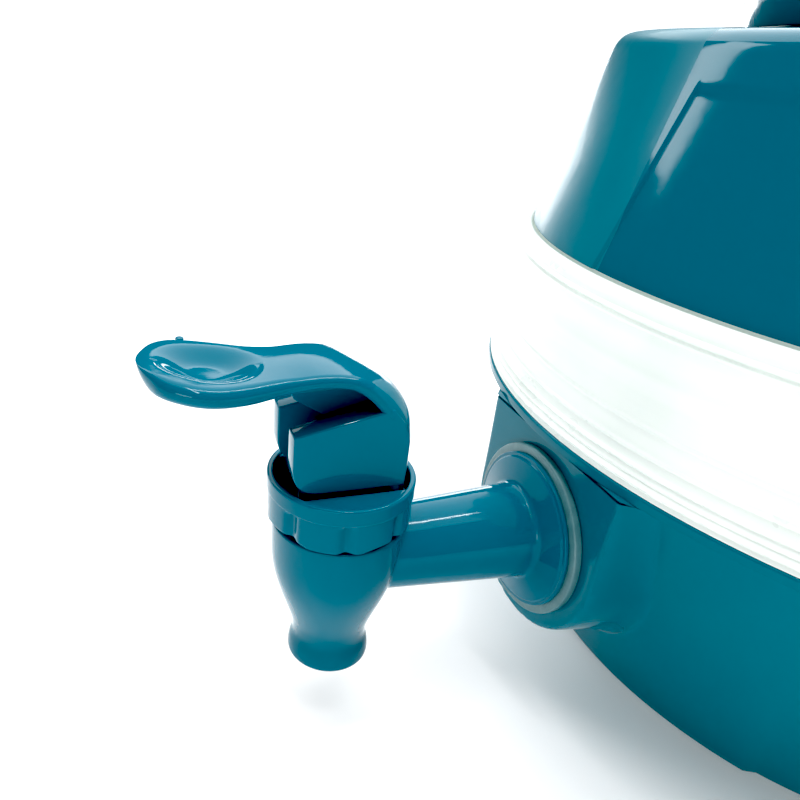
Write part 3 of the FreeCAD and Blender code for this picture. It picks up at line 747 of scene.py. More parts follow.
@dataclass
class Tub:
    """Tapered tub with an overhanging rim and a blended flat pad for the tap."""

    wall: float = 2.6
    band: float = 2.2
    overhang: float = 3.3
    floor_r: float = 80.0
    pad_setback: float = 1.5
    pad_half: float = 24.5
    pad_blend: float = 8.5
    pad_falloff: float = 2.3
    pad_span: float = 35.0
    crease: float = 0.22
    lip: float = 1.3
    channel: float = 4.8
    channel_depth: float = 2.4
    ledge: float = 2.5

    def __post_init__(self) -> None:
        self.extent = Extent.of("base_tub")
        self.rim_r = self.extent.high.x
        self.rim_top = self.extent.high.z
        self.pad_y = self.rim_r - self.pad_setback
        self.stem_z = Extent.of("outer_gasket").centre.z

    def warp(self, angle: float, r: float, z: float) -> Point:
        """Pushes the outer wall out to the pad's flat face and blends it back."""
        top = self.rim_top - self.band
        on_wall = self.extent.low.z < z <= top + 1e-6 and r > self.outer_r(z) - 0.3
        if not on_wall or abs(angle) > math.radians(self.pad_span):
            return r, z
        x = self.pad_y * math.tan(angle)
        drop = max(self.stem_z - z, 0.0)
        outside = math.hypot(x, drop) - self.pad_half if drop > 0 else abs(x) - self.pad_half
        softened = self.crease * math.log1p(math.exp(min(outside / self.crease, 30.0)))
        share = max(1.0 - softened / self.pad_blend, 0.0) ** self.pad_falloff
        face = self.pad_y / math.cos(angle)
        return r + max(face - r, 0.0) * share, z

    def outer_r(self, z: float) -> float:
        """Radius of the tapered wall at a height."""
        low = self.extent.low.z
        top = self.rim_top - self.band
        return self.floor_r + (self.rim_r - self.overhang - self.floor_r) * (z - low) / (top - low)

    def build(self) -> None:
        """Makes the tub and its feet."""
        low = self.extent.low.z
        top = self.rim_top
        under = top - self.band
        wall_top = self.rim_r - self.overhang
        channel_out = self.rim_r - self.lip
        channel_in = channel_out - self.channel
        channel_floor = top - self.channel_depth
        inner = channel_in - self.ledge
        outside = [
            Corner(self.floor_r, low, 3.4), Corner(wall_top, under), Corner(self.rim_r, under, 0.25),
            Corner(self.rim_r, top, 0.7), Corner(channel_out, top, 0.3), Corner(channel_out, channel_floor),
            Corner(channel_in, channel_floor), Corner(channel_in, top, 0.3), Corner(inner, top, 0.3),
            Corner(inner, top - 5.0), Corner(wall_top - self.wall - 1.8, top - 8.8, 1.0),
            Corner(self.floor_r - self.wall, low + self.wall, 3.0)]
        outline = rounded([Corner(0.0, low)] + outside + [Corner(0.0, low + self.wall)], closed=False)
        outline = subdivided(outline, 0.9)
        angles = angles_with([(-21.0, 21.0)], 0.3, 1.8)
        mesh = turned(outline, angles=angles, closed=False, warp=self.warp)
        tub = finish_piece("tub", mesh, "teal_shell", Body.BASE)
        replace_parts(tub, "base_tub")
        for number in range(1, 6):
            self.foot(number)

    def foot(self, number: int) -> None:
        """Makes one rubber foot.

        Args:
            number: which of the five.
        """
        node = "foot_pad_" + str(number)
        extent = Extent.of(node)
        r = extent.size.x / 2
        corners = [
            Corner(0, extent.low.z + 0.25), Corner(r - 2.2, extent.low.z + 0.25, 0.2),
            Corner(r - 1.9, extent.low.z, 0.2), Corner(r, extent.low.z, 0.6), Corner(r, extent.high.z),
            Corner(0, extent.high.z)]
        mesh = turned(rounded(corners, closed=False), centre=extent.centre, closed=False,
                      angles=even_angles(64))
        foot = finish_piece("foot_" + str(number), mesh, "dark_rubber", Body.BASE)
        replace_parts(foot, node)


@dataclass
class FoldingWall:
    """Soft wall in its folded state: an outer flank, and two bands nested inside it."""

    skin: float = 1.2
    rib: float = 0.5
    rib_room: float = 0.6
    lean: float = 1.25
    band_gap: float = 3.2
    band_height: float = 28.5
    fade: float = 7.0
    rings: tuple[tuple[float, float], ...] = (
        (1.7, 0.8), (3.2, 0.6), (4.8, 0.8), (7.6, 0.4), (12.5, 0.2), (-4.9, 0.5), (-3.7, 0.9))

    def build(self) -> None:
        """Makes the three bands."""
        extent = Extent.of("bellows")
        rim = Extent.of("base_tub").high.z
        shell = Extent.of("shoulder_shell")
        upper_bead = Extent.of("upper_clamp_ring")
        out = extent.high.x - self.rib_room
        crest = shell.low.z - 0.06
        leaning = out - self.lean
        second = out - self.band_gap
        third = upper_bead.high.x + 1.5
        low = upper_bead.low.z - self.band_height
        centre_r = (second + third) / 2 - 0.9
        edge = Extent.of("base_tub").high.x - 0.15
        flank = [Corner(out - 4.4, extent.low.z), Corner(out, extent.low.z), Corner(out, rim + 0.05),
                 Corner(edge, rim + 0.05, 0.3)]
        for rise, size in self.rings:
            z = rim + rise if rise > 0 else crest + rise
            r = leaning + (edge - out + self.lean) * math.exp((rim - z) / self.fade)
            high = r + self.rib * size
            flank += [Corner(r - 0.12, z - 0.6, 0.15), Corner(high, z - 0.12, 0.2),
                      Corner(high, z + 0.12, 0.2), Corner(r - 0.12, z + 0.6, 0.15)]
        flank += [Corner(leaning, crest - 2.2, 1.6), Corner(leaning - 1.0, crest - 0.1, 0.9),
                  Corner(second - 0.6, crest - 0.1, 0.9), Corner(second - 0.9, crest - 2.2)]
        back = [Corner(second, crest - 2.4, 0.3), Corner(second + 0.35, crest - 1.2, 0.4),
                Corner(leaning - 1.3, crest - 1.2, 0.4), Corner(leaning - self.skin, crest - 3, 0.8),
                Corner(out - self.skin, extent.low.z + 2.0), Corner(out - 4.4, extent.low.z + 2.0)]
        outer = finish_piece("wall_outer_band", turned(rounded(flank + back)), "clear_bellows", Body.BASE)
        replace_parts(outer, "bellows")
        middle_outline = rounded([
            Corner(second - 0.9, crest - 2.3), Corner(second - 1.9, low + 1.6, 0.8),
            Corner(centre_r, low + 0.6), Corner(centre_r, low - 0.5), Corner(second - 0.9, low, 0.8),
            Corner(second, crest - 2.4)])
        middle_mesh = turned(subdivided(middle_outline + middle_outline[:1], 1.5)[:-1])
        middle = self.band_piece("wall_middle_band", middle_mesh)
        inner_outline = rounded([
            Corner(centre_r, low + 0.6), Corner(third, low + 1.6, 0.8), Corner(third, extent.high.z),
            Corner(third - 3.0, extent.high.z), Corner(third - 3.0, extent.high.z - 2.0),
            Corner(third - self.skin, extent.high.z - 2.0), Corner(third - self.skin, low, 0.8),
            Corner(centre_r, low - 0.5)])
        inner = finish_piece("wall_inner_band", turned(inner_outline), "clear_bellows", Body.TOP)
        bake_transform(middle)

    def band_piece(self, name: str, mesh: bmesh.types.BMesh) -> bpy.types.Object:
        """Makes the object of the middle band, which is tied to no body."""
        piece = linked(name, mesh_data(name, mesh, "clear_bellows"))
        return piece


@dataclass
class Shoulder:
    """Tapered top shell with a shallow front panel, a neck, two ears and four stops."""

    top_r: float = 90.9
    top: float = 150.0
    wall: float = 2.6
    edge: float = 5.0
    seam_start: float = -3.3
    seam_lean: float = 0.078
    panel_end: float = 37.6
    panel_depth: float = 0.4
    panel_top: tuple[float, float] = (139.6, 140.4)
    seam_depth: float = 0.3
    seam_width: float = 0.28
    neck_r: float = 60.0
    neck_wall: float = 4.0
    flange_r: float = 94.5
    flange: float = 4.0

    def __post_init__(self) -> None:
        self.extent = Extent.of("shoulder_shell")
        self.low_z = self.extent.low.z
        self.low_r = self.extent.high.y
        self.neck_top = self.extent.high.z

    def cone_r(self, z: float) -> float:
        """Outside radius of the cone at a height."""
        return self.low_r + (self.top_r - self.low_r) * (z - self.low_z) / (self.top - self.low_z)

    def warp(self, angle: float, r: float, z: float) -> Point:
        """Sinks the front panel a little and cuts the fine line along its left edge."""
        if r < self.cone_r(z) - 0.25 or z < self.low_z - 0.01 or z > self.top:
            return r, z
        degrees = math.degrees(angle)
        left = self.seam_start + self.seam_lean * (z - self.low_z)
        millimetres = math.radians(degrees - left) * r
        inside = smoothstep(-0.15, 0.35, millimetres)
        inside *= 1 - smoothstep(self.panel_end - 0.35, self.panel_end, degrees)
        below_top = 1 - smoothstep(*self.panel_top, z)
        inside *= below_top
        line = math.exp(-(millimetres / self.seam_width) ** 2) * below_top
        return r - self.panel_depth * inside - self.seam_depth * line, z

    def build(self) -> None:
        """Makes the shell, its ears, its stops and the pivots."""
        ceiling = self.top - self.wall
        above_flange = self.low_z + self.flange
        neck_in = self.neck_r - self.neck_wall
        corners = [
            Corner(self.flange_r, self.low_z, 0.3), Corner(self.low_r, self.low_z, 0.15),
            Corner(self.top_r, self.top, self.edge), Corner(self.neck_r, self.top + 0.4, 1.5),
            Corner(self.neck_r, self.neck_top, 0.8), Corner(neck_in, self.neck_top, 0.8),
            Corner(neck_in, ceiling), Corner(self.cone_r(ceiling) - self.wall, ceiling, 3.0),
            Corner(self.cone_r(above_flange) - self.wall, above_flange), Corner(self.flange_r, above_flange)]
        outline = rounded(corners, pieces=10)
        outline = subdivided(outline + outline[:1], 1.2)[:-1]
        fine = [(-4.6, 0.4), (self.panel_end - 0.6, self.panel_end + 0.2)]
        mesh = turned(outline, angles=angles_with(fine, 0.1, 1.8), warp=self.warp)
        shell = finish_piece("shoulder", mesh, "teal_shoulder", Body.TOP)
        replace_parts(shell, "shoulder_shell")
        pivot = Extent.of("handle_pivot_right")
        hub = Extent.of("carry_handle")
        face = hub.high.x - 5.2
        for side in (-1, 1):
            ear = rounded([Corner(0, side * 90), Corner(9.0, side * 90), Corner(9.0, side * face, 0.8),
                           Corner(0, side * face)], closed=False)
            mesh = turned(ear, Axis.X, pivot.centre, even_angles(72), closed=False)
            finish_piece("ear_" + side_name(side), mesh, "teal_shell", Body.TOP)
            self.pivot(side, pivot)
            for front in (-1, 1):
                self.stop(side, front, pivot.centre.z - 8.3, hub.high.x)

    def stop(self, side: int, front: int, top: float, reach: float) -> None:
        """Makes the small ledge that one arm of the handle rests on."""
        xs = sorted((side * (self.cone_r(top) - 2), side * reach))
        ys = sorted((front * 8.25, front * 12.75))
        outline = [(xs[0], ys[0]), (xs[1], ys[0]), (xs[1], ys[1]), (xs[0], ys[1])]
        mesh = plate(outline, top - 3.6, top, 0.7, Axis.Z)
        words = (side_name(side), "front" if front < 0 else "back")
        finish_piece("stop_" + "_".join(words), mesh, "teal_shell", Body.TOP)

    def pivot(self, side: int, extent: Extent) -> None:
        """Makes the domed pin of one arm."""
        x = extent.high.x * side
        head = extent.size.z / 2
        corners = [
            Corner(0, extent.low.x * side), Corner(4.0, extent.low.x * side), Corner(4.0, x - side * 2.2),
            Corner(head, x - side * 2.2, 0.3), Corner(head, x - side * 0.6, 0.8), Corner(head - 1.6, x, 0.8),
            Corner(1.6, x, 0.3), Corner(1.2, x - side * 0.5, 0.3), Corner(0, x - side * 0.5)]
        mesh = turned(rounded(corners, closed=False), Axis.X, extent.centre, even_angles(64), closed=False)
        name = side_name(side)
        pin = finish_piece("pivot_" + name, mesh, "teal_tap", Body.TOP)
        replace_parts(pin, "handle_pivot_" + name)


@dataclass
class Handle:
    """Flat strap handle with rounded edges and round hubs."""

    thickness: float = 4.4
    height: float = 16.0

    def build(self) -> None:
        """Makes the strap and its hubs."""
        extent = Extent.of("carry_handle")
        out = extent.high.x
        inn = out - self.thickness
        middle = Extent.of("handle_pivot_right").centre.z
        half = self.height / 2
        section = rounded([
            Corner(inn, middle - half, 1.4), Corner(out, middle - half, 1.4), Corner(out, middle + half, 1.4),
            Corner(inn, middle + half, 1.4)])
        loops = []
        for k in range(121):
            angle = math.radians(90 + 180 * k / 120)
            loops.append([about(Axis.Z, Vector((0, 0, 0)), angle, r, z) for r, z in section])
        strap = skin_loops(loops, close_rings=False, cap=True)
        hubs = []
        centre = Vector((0, 0, middle))
        for side in (-1, 1):
            corners = [
                Corner(4.1, side * (inn - 0.4), 0.2), Corner(8.5, side * (inn - 0.4), 0.6),
                Corner(8.5, side * out, 1.0), Corner(4.1, side * out, 0.3)]
            hubs.append(turned(rounded(corners), Axis.X, centre, even_angles(72)))
        piece = finish_piece("handle_strap", joined([strap] + hubs), "teal_shell", Body.HANDLE)
        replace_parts(piece, "carry_handle")


@dataclass
class Lid:
    """Push-in lid with a hollow plug, a soft seal and a grip bar."""

    skirt_in: float = 60.6
    grip_half_x: float = 46.0
    grip_half_y: float = 6.5
    grip_height: float = 11.0
    plate_height: float = 3.7
    plug_r: float = 53.4

    def build(self) -> None:
        """Makes the lid, its grip and its seal."""
        extent = Extent.of("lid")
        seal = Extent.of("lid_seal")
        edge = extent.high.x
        grip_top = extent.high.z
        top = grip_top - self.grip_height
        under = top - self.plate_height
        plug = self.plug_r
        corners = [
            Corner(0, under), Corner(plug - 4.4, under), Corner(plug - 4.4, extent.low.z, 0.5),
            Corner(plug, extent.low.z, 0.8), Corner(plug, seal.low.z), Corner(plug - 1.9, seal.low.z),
            Corner(plug - 1.9, seal.high.z), Corner(plug, seal.high.z), Corner(plug, under),
            Corner(self.skirt_in, under), Corner(self.skirt_in, under - 6.3, 0.4),
            Corner(self.skirt_in + 3, under - 6.3, 0.6), Corner(edge, under + 0.4, 0.8),
            Corner(edge, top, 1.4), Corner(edge - 6, top, 0.6), Corner(edge - 6.8, top - 0.5, 0.6),
            Corner(edge - 10, top - 0.5, 0.6), Corner(edge - 10.8, top, 0.6), Corner(0, top)]
        disc = turned(rounded(corners, closed=False), closed=False)
        bar = []
        for k in range(64):
            angle = 2 * math.pi * k / 64
            shift = (self.grip_half_x - self.grip_half_y) * (1 if math.cos(angle) > 0 else -1)
            bar.append((shift + self.grip_half_y * math.cos(angle), self.grip_half_y * math.sin(angle)))
        grip = plate(bar, under + 0.5, grip_top, 2.2, Axis.Z, 6)
        piece = finish_piece("lid_cap", joined([disc, grip]), "teal_shell", Body.LID)
        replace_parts(piece, "lid")
        mid = seal.centre.z
        ring = rounded([
            Corner(plug - 1.9, seal.low.z), Corner(plug, seal.low.z, 0.4),
            Corner(seal.high.x, mid - 0.6, 0.6), Corner(plug + 1.2, mid, 0.3),
            Corner(seal.high.x, mid + 0.6, 0.6), Corner(plug, seal.high.z, 0.4),
            Corner(plug - 1.9, seal.high.z)])
        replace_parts(finish_piece("seal_ring", turned(ring), "grey_rubber", Body.LID), "lid_seal")


@dataclass
class Tap:
    """Vase-shaped tap body with its horizontal stem, flange and outer gasket."""

    shoulder_r: float = 14.3
    shoulder_z: float = 55.4
    neck_r: float = 12.6
    neck_top: float = 59.0
    stem_tap_r: float = 9.4
    stem_flange_r: float = 11.1
    fillet: float = 0.6
    lip_r: float = 9.5
    outlet_r: float = 7.6

    def __post_init__(self) -> None:
        self.centre = Extent.of("bonnet").centre
        self.extent = Extent.of("tap_body")
        self.gasket = Extent.of("outer_gasket")
        self.stem_z = self.gasket.centre.z
        flank = [
            (self.shoulder_r, self.shoulder_z - 0.7), (self.shoulder_r - 0.2, 46.5), (13.5, 41.8),
            (12.4, 37.6), (11.1, 33.7), (9.7, 29.6), (8.9, 26.7), (8.6, 23.6), (9.25, 20.9),
            (self.lip_r, 19.2)]
        self.flank = [(p[0], p[1]) for p in flowing(flank, 8)]

    def vase_r(self, z: float) -> float:
        """Radius of the vase's outside at a height."""
        for (r0, z0), (r1, z1) in zip(self.flank, self.flank[1:]):
            if z1 <= z <= z0:
                return r0 + (r1 - r0) * (z0 - z) / (z0 - z1)
        return self.shoulder_r

    def build(self) -> None:
        """Makes the tap body and the gasket behind its flange."""
        body = joined([self.vase(), self.stem()])
        piece = finish_piece("tap_shell", body, "teal_tap", Body.BASE)
        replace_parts(piece, "tap_body")
        g = self.gasket
        r = g.size.x / 2
        ring = rounded([Corner(8.0, g.low.y), Corner(r, g.low.y, 0.5), Corner(r, g.high.y, 0.5),
                        Corner(8.0, g.high.y)])
        mesh = turned(ring, Axis.Y, g.centre)
        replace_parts(finish_piece("gasket_ring", mesh, "grey_rubber", Body.BASE), "outer_gasket")

    def vase(self) -> bmesh.types.BMesh:
        """Outside, lip and hollow of the tap body."""
        low = self.extent.low.z
        top = rounded([
            Corner(8.6, self.neck_top), Corner(self.neck_r, self.neck_top, 0.4),
            Corner(self.neck_r, self.shoulder_z, 0.3), Corner(self.shoulder_r, self.shoulder_z, 0.7),
            Corner(*self.flank[1])], closed=False)
        lip = rounded([
            Corner(*self.flank[-1]), Corner(self.lip_r, low, 1.5), Corner(self.outlet_r, low, 0.6),
            Corner(6.0, 23.6, 2.0), Corner(6.0, 32.0), Corner(8.6, 32.0), Corner(8.6, self.neck_top)],
            closed=False)
        outline = top[:-1] + self.flank[1:-1] + lip[:-1]
        return turned(outline, centre=self.centre, angles=even_angles(128))

    def stem(self) -> bmesh.types.BMesh:
        """Stem that grows out of the vase with a fillet and ends in the flange and shank."""
        back = self.gasket.low.y
        front = back - 3.0
        flange_r = self.extent.size.x / 2
        angles = even_angles(128)
        loops = []
        for j in range(9):
            bend = math.radians(90 * j / 8)
            spread = self.fillet * (1 - math.sin(bend))
            ahead = self.fillet * (1 - math.cos(bend))
            r = self.stem_tap_r + spread
            loops.append([self.on_vase(a, r, ahead) for a in angles])
        near_flange = front - 2.6
        start = loops[-1]
        for j in range(1, 9):
            t = j / 8
            r = self.stem_tap_r + (self.stem_flange_r - self.stem_tap_r) * t
            ring = []
            for a, first in zip(angles, start):
                y = first.y + (near_flange - first.y) * t
                ring.append(about(Axis.Y, Vector((0, 0, self.stem_z)), a, r, y))
            loops.append(ring)
        rest = rounded([
            Corner(self.stem_flange_r, near_flange), Corner(self.stem_flange_r, front, 2.4),
            Corner(flange_r - 1.2, back - 1.3, 0.5), Corner(flange_r - 0.9, back - 0.95, 0.3),
            Corner(flange_r, back - 0.95, 0.35), Corner(flange_r, back, 0.35), Corner(8.0, back),
            Corner(8.0, self.extent.high.y), Corner(5.4, self.extent.high.y), Corner(5.4, back)],
            closed=False)
        for r, y in rest[1:]:
            loops.append([about(Axis.Y, Vector((0, 0, self.stem_z)), a, r, y) for a in angles])
        return skin_loops(loops, close_rings=False)

    def on_vase(self, angle: float, r: float, ahead: float) -> Vector:
        """Point of the stem's root on the vase, moved ahead along the stem."""
        x = r * math.sin(angle)
        z = self.stem_z + r * math.cos(angle)
        depth = math.sqrt(max(self.vase_r(min(z, self.shoulder_z - 0.8)) ** 2 - x ** 2, 0.0))
        return Vector((x, self.centre.y + depth - 0.15 + ahead, z))


@dataclass
class Bonnet:
    """Screw cap with a raised rim, two flat halves beside a slot, and a fluted wavy skirt."""

    band: float = 3.6
    lip: float = 1.3
    skirt_r: float = 15.3
    slot_half: float = 8.6
    slot_floor: float = 61.7
    drop: float = 0.7
    flutes: int = 8
    flute_depth: float = 0.95
    wave: float = 0.8
    thread_r: float = 12.9
    rod_hole_r: float = 3.1
    web: float = 2.7

    def build(self) -> None:
        """Makes the cap."""
        extent = Extent.of("bonnet")
        centre = extent.centre
        r = extent.size.x / 2
        top, low = extent.high.z, extent.low.z
        band_z = top - self.band
        inner = r - self.lip
        ceiling = self.slot_floor - self.web
        shell = rounded([
            Corner(self.thread_r, low, 0.2), Corner(self.skirt_r, low, 0.4),
            Corner(self.skirt_r, band_z - 0.1, 0.15), Corner(r, band_z + 0.15, 0.35),
            Corner(r, top, 0.75), Corner(inner, top, 0.4), Corner(inner, self.slot_floor, 0.6),
            Corner(self.rod_hole_r, self.slot_floor), Corner(self.rod_hole_r, ceiling),
            Corner(self.thread_r, ceiling)])
        shell = subdivided(shell + shell[:1], 0.7)[:-1]

        def warp(angle: float, radius: float, z: float) -> Point:
            phase = math.cos(self.flutes * (angle + 0.2))
            groove = self.flute_depth * max(phase, 0.0) ** 4
            if radius > self.skirt_r - 0.6 and z < band_z - 0.05:
                radius -= groove * smoothstep(0.0, 0.8, band_z - z)
            lift = self.wave * max(-math.cos(self.flutes / 2 * (angle + 0.35)), 0.0) ** 0.6
            z += lift * (1 - smoothstep(low, low + 2.5, z))
            return radius, z

        parts = [turned(shell, centre=centre, angles=even_angles(240), warp=warp)]
        parts += [self.half_plate(side, inner + 0.05, centre, top - self.drop) for side in (-1, 1)]
        piece = finish_piece("bonnet_cap", joined(parts), "teal_tap", Body.BASE)
        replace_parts(piece, "bonnet")

    def half_plate(self, side: int, r: float, centre: Vector, top: float) -> bmesh.types.BMesh:
        """One flat half beside the slot.

        Args:
            side: -1 or 1.
            r: radius of its round edge.
            centre: the cap's axis.
            top: its upper face.

        Returns:
            The mesh.
        """
        limit = math.acos(self.slot_half / r)
        outline = []
        for k in range(33):
            angle = -limit + 2 * limit * k / 32
            outline.append((side * r * math.cos(angle), centre.y + r * math.sin(angle)))
        return plate(outline, self.slot_floor - 0.5, top, 0.45, Axis.Z, 4)


@dataclass
class Lever:
    """Thumb lever: dished paddle that curves down over the back, cheeks, web and cam feet."""

    paddle_half: float = 12.4
    neck_half: float = 9.0
    back_half: float = 8.7
    sheet: float = 2.5
    paddle_sheet: float = 3.9
    dish_depth: float = 2.0
    rim_line: float = 0.16
    dish_x: float = 9.0
    dish_y: float = 10.4
    dish_at: float = -27.2
    round_from: float = -28.2

    def __post_init__(self) -> None:
        self.extent = Extent.of("lever")
        self.axis_y = Extent.of("bonnet").centre.y
        self.tip = self.extent.low.y - self.axis_y + 0.15
        self.bottom = 66.95

    def stations(self) -> list[tuple[float, float]]:
        """Centre line of the upper face, from the tip to the foot of the back, as (y, z)."""
        points = [
            (self.tip, 93.5), (-37.0, 93.7), (-33.0, 93.2), (-27.0, 92.2), (-20.0, 91.7), (-14.0, 91.9),
            (-8.0, 92.3), (-2.6, 91.8), (3.0, 90.0), (8.2, 86.8), (12.0, 82.0), (13.3, 77.0), (13.5, 72.0),
            (13.4, self.bottom - 2.4)]
        return [(p[0], p[1]) for p in flowing(points, 16)]

    def half_width(self, y: float, z: float) -> float:
        """Half of the lever's width at a station."""
        if z < 86:
            return self.back_half - 0.35 * smoothstep(86.0, 82.0, z)
        if y < self.round_from:
            reach = (self.round_from - y) / (self.round_from - self.tip)
            return self.paddle_half * max(1 - min(reach, 1.0) ** 2.15, 0.0) ** 0.5
        waist = smoothstep(self.round_from, -13.0, y)
        side = self.paddle_half + (self.neck_half - self.paddle_half) * waist
        return side + (self.back_half - self.neck_half) * smoothstep(-8.0, 4.0, y)

    def thickness(self, y: float) -> float:
        """Thickness of the skin at a station."""
        thick = self.paddle_sheet + (self.sheet - self.paddle_sheet) * smoothstep(-22.0, -10.0, y)
        near_tip = (y - self.tip) / (self.paddle_sheet / 2)
        if near_tip < 1:
            thick *= math.sqrt(max(1 - (1 - max(near_tip, 0.0)) ** 2, 0.0004))
        return thick

    def section(self, y: float, z: float, normal: Vector) -> list[Vector]:
        """Closed cross-section at a station.

        Args:
            y: station's place from the tap's axis.
            z: station's height.
            normal: outward direction of the upper face.

        Returns:
            Its points in order.
        """
        half = max(self.half_width(y, z), 0.02)
        thick = self.thickness(y)
        edge = min(thick / 2, half)
        crown = 0.5 + 2.7 * smoothstep(-2.0, 11.0, y)
        crown *= smoothstep(-22.0, -10.0, y)
        flat = half - edge
        points: list[Point] = []
        for k in range(65):
            x = -flat + 2 * flat * k / 64
            q = math.hypot(x / self.dish_x, (y - self.dish_at) / self.dish_y)
            dish = self.dish_depth * (1 - smoothstep(0.3, 1.0, q))
            if x > 0:
                dish += self.rim_line * math.exp(-((q - 0.9) / 0.035) ** 2)
            points.append((x, -crown * (x / half) ** 2 - dish))
        for k in range(1, 8):
            turn = math.pi * k / 8
            points.append((flat + edge * math.sin(turn), -crown - thick / 2 + thick / 2 * math.cos(turn)))
        for k in range(13):
            x = flat - 2 * flat * k / 12
            points.append((x, -crown * (x / half) ** 2 - thick))
        for k in range(1, 8):
            turn = math.pi * k / 8
            points.append((-flat - edge * math.sin(turn), -crown - thick / 2 - thick / 2 * math.cos(turn)))
        base = Vector((0, self.axis_y + y, z))
        return [base + Vector((x, 0, 0)) + normal * n for x, n in points]

    def skin(self) -> bmesh.types.BMesh:
        """Paddle, neck and back in one sheet."""
        line = self.stations()
        loops = []
        for k, (y, z) in enumerate(line):
            y0, z0 = line[max(k - 1, 0)]
            y1, z1 = line[min(k + 1, len(line) - 1)]
            along = Vector((0, y1 - y0, z1 - z0)).normalized()
            normal = Vector((0, -along.z, along.y))
            loops.append(self.section(y, z, normal))
        return skin_loops(loops, close_rings=False, cap=True)

    def side_parts(self) -> list[bmesh.types.BMesh]:
        """Cheeks, cam feet and the centre web."""
        y0 = self.axis_y
        bottom = self.bottom
        front = y0 - 12.8
        cheek = rounded([
            Corner(front, 79.9, 0.5), Corner(front, bottom, 6.0), Corner(y0 + 10.5, bottom, 0.9),
            Corner(y0 + 10.6, 77.0, 1.5), Corner(y0 + 9.2, 81.0, 1.5), Corner(y0 + 6.6, 84.2)], pieces=8)
        cam = rounded([
            Corner(y0 - 10.5, bottom + 4), Corner(y0 - 10.5, self.extent.low.z, 2.6),
            Corner(y0 + 5.0, self.extent.low.z, 0.5), Corner(y0 + 5.0, bottom + 4)])
        web = [(y0 - 14.0, 89.8), (y0 - 11.3, 84.2), (y0 - 5.0, 80.3), (y0 + 10.0, 80.3), (y0 + 6.0, 84.0),
               (y0 + 1.0, 88.2), (y0 - 5.0, 90.2)]
        parts = [plate(web, -1.2, 1.2, 0.3)]
        for side in (-1, 1):
            xs = sorted((side * 4.2, side * 8.6))
            parts.append(plate(cheek, xs[0], xs[1], 0.45, pieces=4))
            xs = sorted((side * 4.3, side * 6.9))
            parts.append(plate(cam, xs[0], xs[1], 0.3))
        nub = rounded([Corner(0, 92.95), Corner(0.8, 92.95, 0.3), Corner(0.9, 91.65), Corner(0, 91.65)],
                      closed=False)
        gate = Vector((-11.3, y0 - 31.0, 0))
        parts.append(turned(nub, centre=gate, angles=even_angles(24), closed=False))
        return parts

    def build(self) -> None:
        """Makes the lever."""
        mesh = joined([self.skin()] + self.side_parts())
        piece = finish_piece("lever_arm", mesh, "teal_tap", Body.LEVER, sharp=40.0)
        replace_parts(piece, "lever")


KEPT_NODES = {
    "lower_clamp_ring": "white_plastic",
    "upper_clamp_ring": "white_plastic",
    "inner_gasket": "grey_rubber",
    "lock_nut": "teal_tap",
    "valve_stem": "teal_tap",
    "seat_cup": "grey_rubber",
    "return_spring": "spring_steel",
}


def dress_kept_nodes() -> None:
    """Gives the inner pieces, which keep their CAD shape, their materials."""
    for node, finish in KEPT_NODES.items():
        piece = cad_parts[node]
        for slot in piece.material_slots:
            slot.material = PALETTE.get(finish)


# ---------------------------------------------------------------- studio


@dataclass(frozen=True)
class Lamp:
    """Soft rectangular lamp that faces a point.

    Args:
        name: the lamp's name.
        place: where it hangs, in metres.
        target: where it points.
        size: width and height in metres.
        power: watts.
    """

    name: str
    place: tuple[float, float, float]
    target: tuple[float, float, float]
    size: tuple[float, float]
    power: float

    def hang(self) -> None:
        """Adds the lamp."""
        data = bpy.data.lights.new(self.name, "AREA")
        data.shape = "RECTANGLE"
        data.size, data.size_y = self.size
        data.energy = self.power
        lamp = linked(self.name, data)
        lamp.location = self.place
        lamp.rotation_euler = (Vector(self.target) - Vector(self.place)).to_track_quat("-Z", "Y").to_euler()


@dataclass(frozen=True)
class View:
    """Camera, by the direction that it looks in.

    Args:
        place: camera's place in metres.
        azimuth: degrees round from looking along +Y.
        down: degrees below the horizon.
        roll: degrees of tilt about the line of sight.
        lens: focal length in millimetres.
        shift: sideways and upward shift of the lens.
    """

    place: tuple[float, float, float]
    azimuth: float
    down: float
    roll: float
    lens: float
    shift: tuple[float, float]

    def make(self) -> None:
        """Adds the camera and makes it the scene's."""
        a, e, t = (math.radians(v) for v in (self.azimuth, self.down, self.roll))
        right = Vector((math.cos(a), math.sin(a), 0))
        ahead = Vector((-math.sin(a) * math.cos(e), math.cos(a) * math.cos(e), -math.sin(e)))
        up = right.cross(ahead)
        tilted_right = right * math.cos(t) + up * math.sin(t)
        tilted_up = up * math.cos(t) - right * math.sin(t)
        data = bpy.data.cameras.new("camera")
        data.sensor_width = 36.0
        data.lens = self.lens
        data.shift_x, data.shift_y = self.shift
        data.clip_start = 0.01
        camera = linked("camera", data)
        turn = Matrix((tilted_right, tilted_up, -ahead)).transposed()
        camera.matrix_world = Matrix.Translation(self.place) @ turn.to_4x4()
        bpy.context.scene.camera = camera


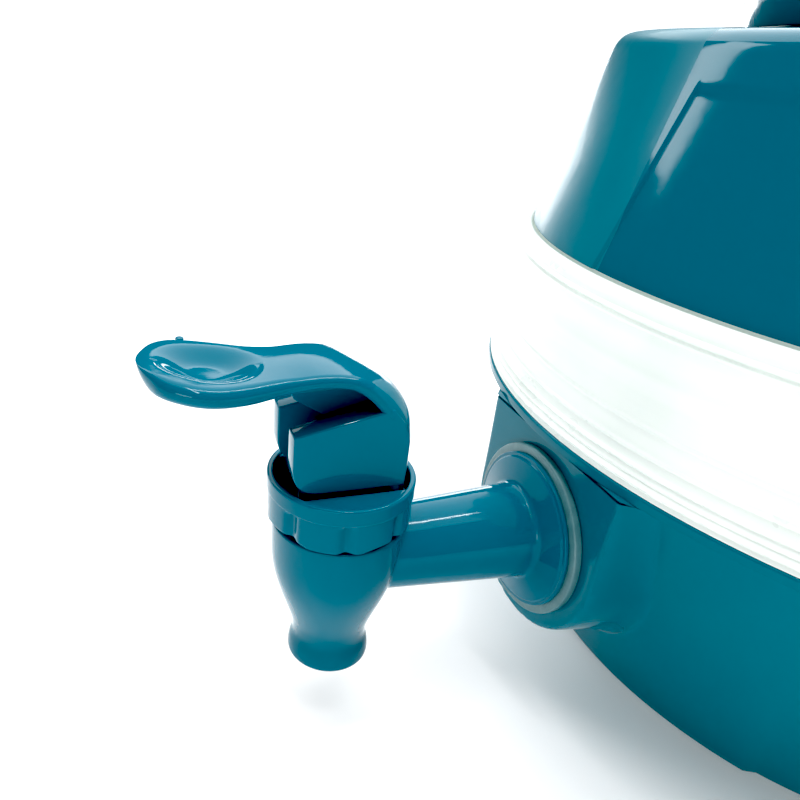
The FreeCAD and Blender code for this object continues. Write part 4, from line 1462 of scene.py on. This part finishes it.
LAMPS = (
    Lamp("front_left", (-0.80, -0.70, 0.60), (0.0, -0.12, 0.06), (0.25, 0.5), 1.4),
    Lamp("strip", (-0.03, 0.30, 1.05), (0.0, -0.13, 0.05), (0.05, 0.8), 4.0),
    Lamp("edge_strip", (0.26, -0.12, 1.00), (0.0, -0.16, 0.08), (0.04, 0.6), 2.5),
    Lamp("left", (-1.00, 0.40, 0.10), (0.0, 0.0, 0.10), (1.0, 0.16), 2.4),
    Lamp("right", (0.95, -0.75, 0.25), (0.0, -0.05, 0.06), (0.6, 0.3), 2.8),
)
VIEW = View((0.11674, -0.19845, 0.14322), 72.51, 28.98, 3.62, 31.63, (0.1035, 0.0431))


def make_studio() -> None:
    """Adds the floor, the lamps, the surrounding light and the camera."""
    mesh = bmesh.new()
    bmesh.ops.create_grid(mesh, x_segments=8, y_segments=8, size=4.0)
    data = bpy.data.meshes.new("floor")
    mesh.to_mesh(data)
    mesh.free()
    data.materials.append(Paper("floor_paper", 0.86, 0.2).material())
    floor = linked("floor", data)
    for lamp in LAMPS:
        lamp.hang()
    make_sky()
    make_world()
    settings = bpy.context.scene.view_settings
    settings.view_transform = "Standard"
    settings.use_curve_mapping = True
    settings.curve_mapping.black_level = (0.045, 0.03, 0.033)
    settings.curve_mapping.white_level = (0.80, 0.80, 0.80)
    settings.curve_mapping.update()
    VIEW.make()


def make_sky() -> None:
    """Adds the broad soft light from above, which lights the floor evenly."""
    data = bpy.data.lights.new("sky", "SUN")
    data.energy = 3.2
    data.angle = math.radians(85)
    sky = linked("sky", data)
    sky.rotation_euler = (math.radians(-12), math.radians(-24), 0)


def make_world() -> None:
    """Adds the room: white behind the object, and dimmer where it only lights and reflects."""
    world = bpy.data.worlds.new("studio")
    world.use_nodes = True
    tree = world.node_tree
    backdrop = tree.nodes["Background"]
    backdrop.inputs["Color"].default_value = (0.93, 0.97, 1.0, 1.0)
    path = tree.nodes.new("ShaderNodeLightPath")
    level = tree.nodes.new("ShaderNodeMapRange")
    level.inputs["To Min"].default_value = 0.12
    level.inputs["To Max"].default_value = 1.1
    tree.links.new(path.outputs["Is Camera Ray"], level.inputs["Value"])
    tree.links.new(level.outputs["Result"], backdrop.inputs["Strength"])
    bpy.context.scene.world = world


def main() -> None:
    """Builds the dispenser and its studio."""
    logging.basicConfig(level=logging.INFO, format="%(name)s %(message)s")
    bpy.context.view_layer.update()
    for assembly in (Tub(), FoldingWall(), Shoulder(), Handle(), Lid(), Tap(), Bonnet(), Lever()):
        assembly.build()
    dress_kept_nodes()
    make_studio()


if __name__ == "__main__":
    main()
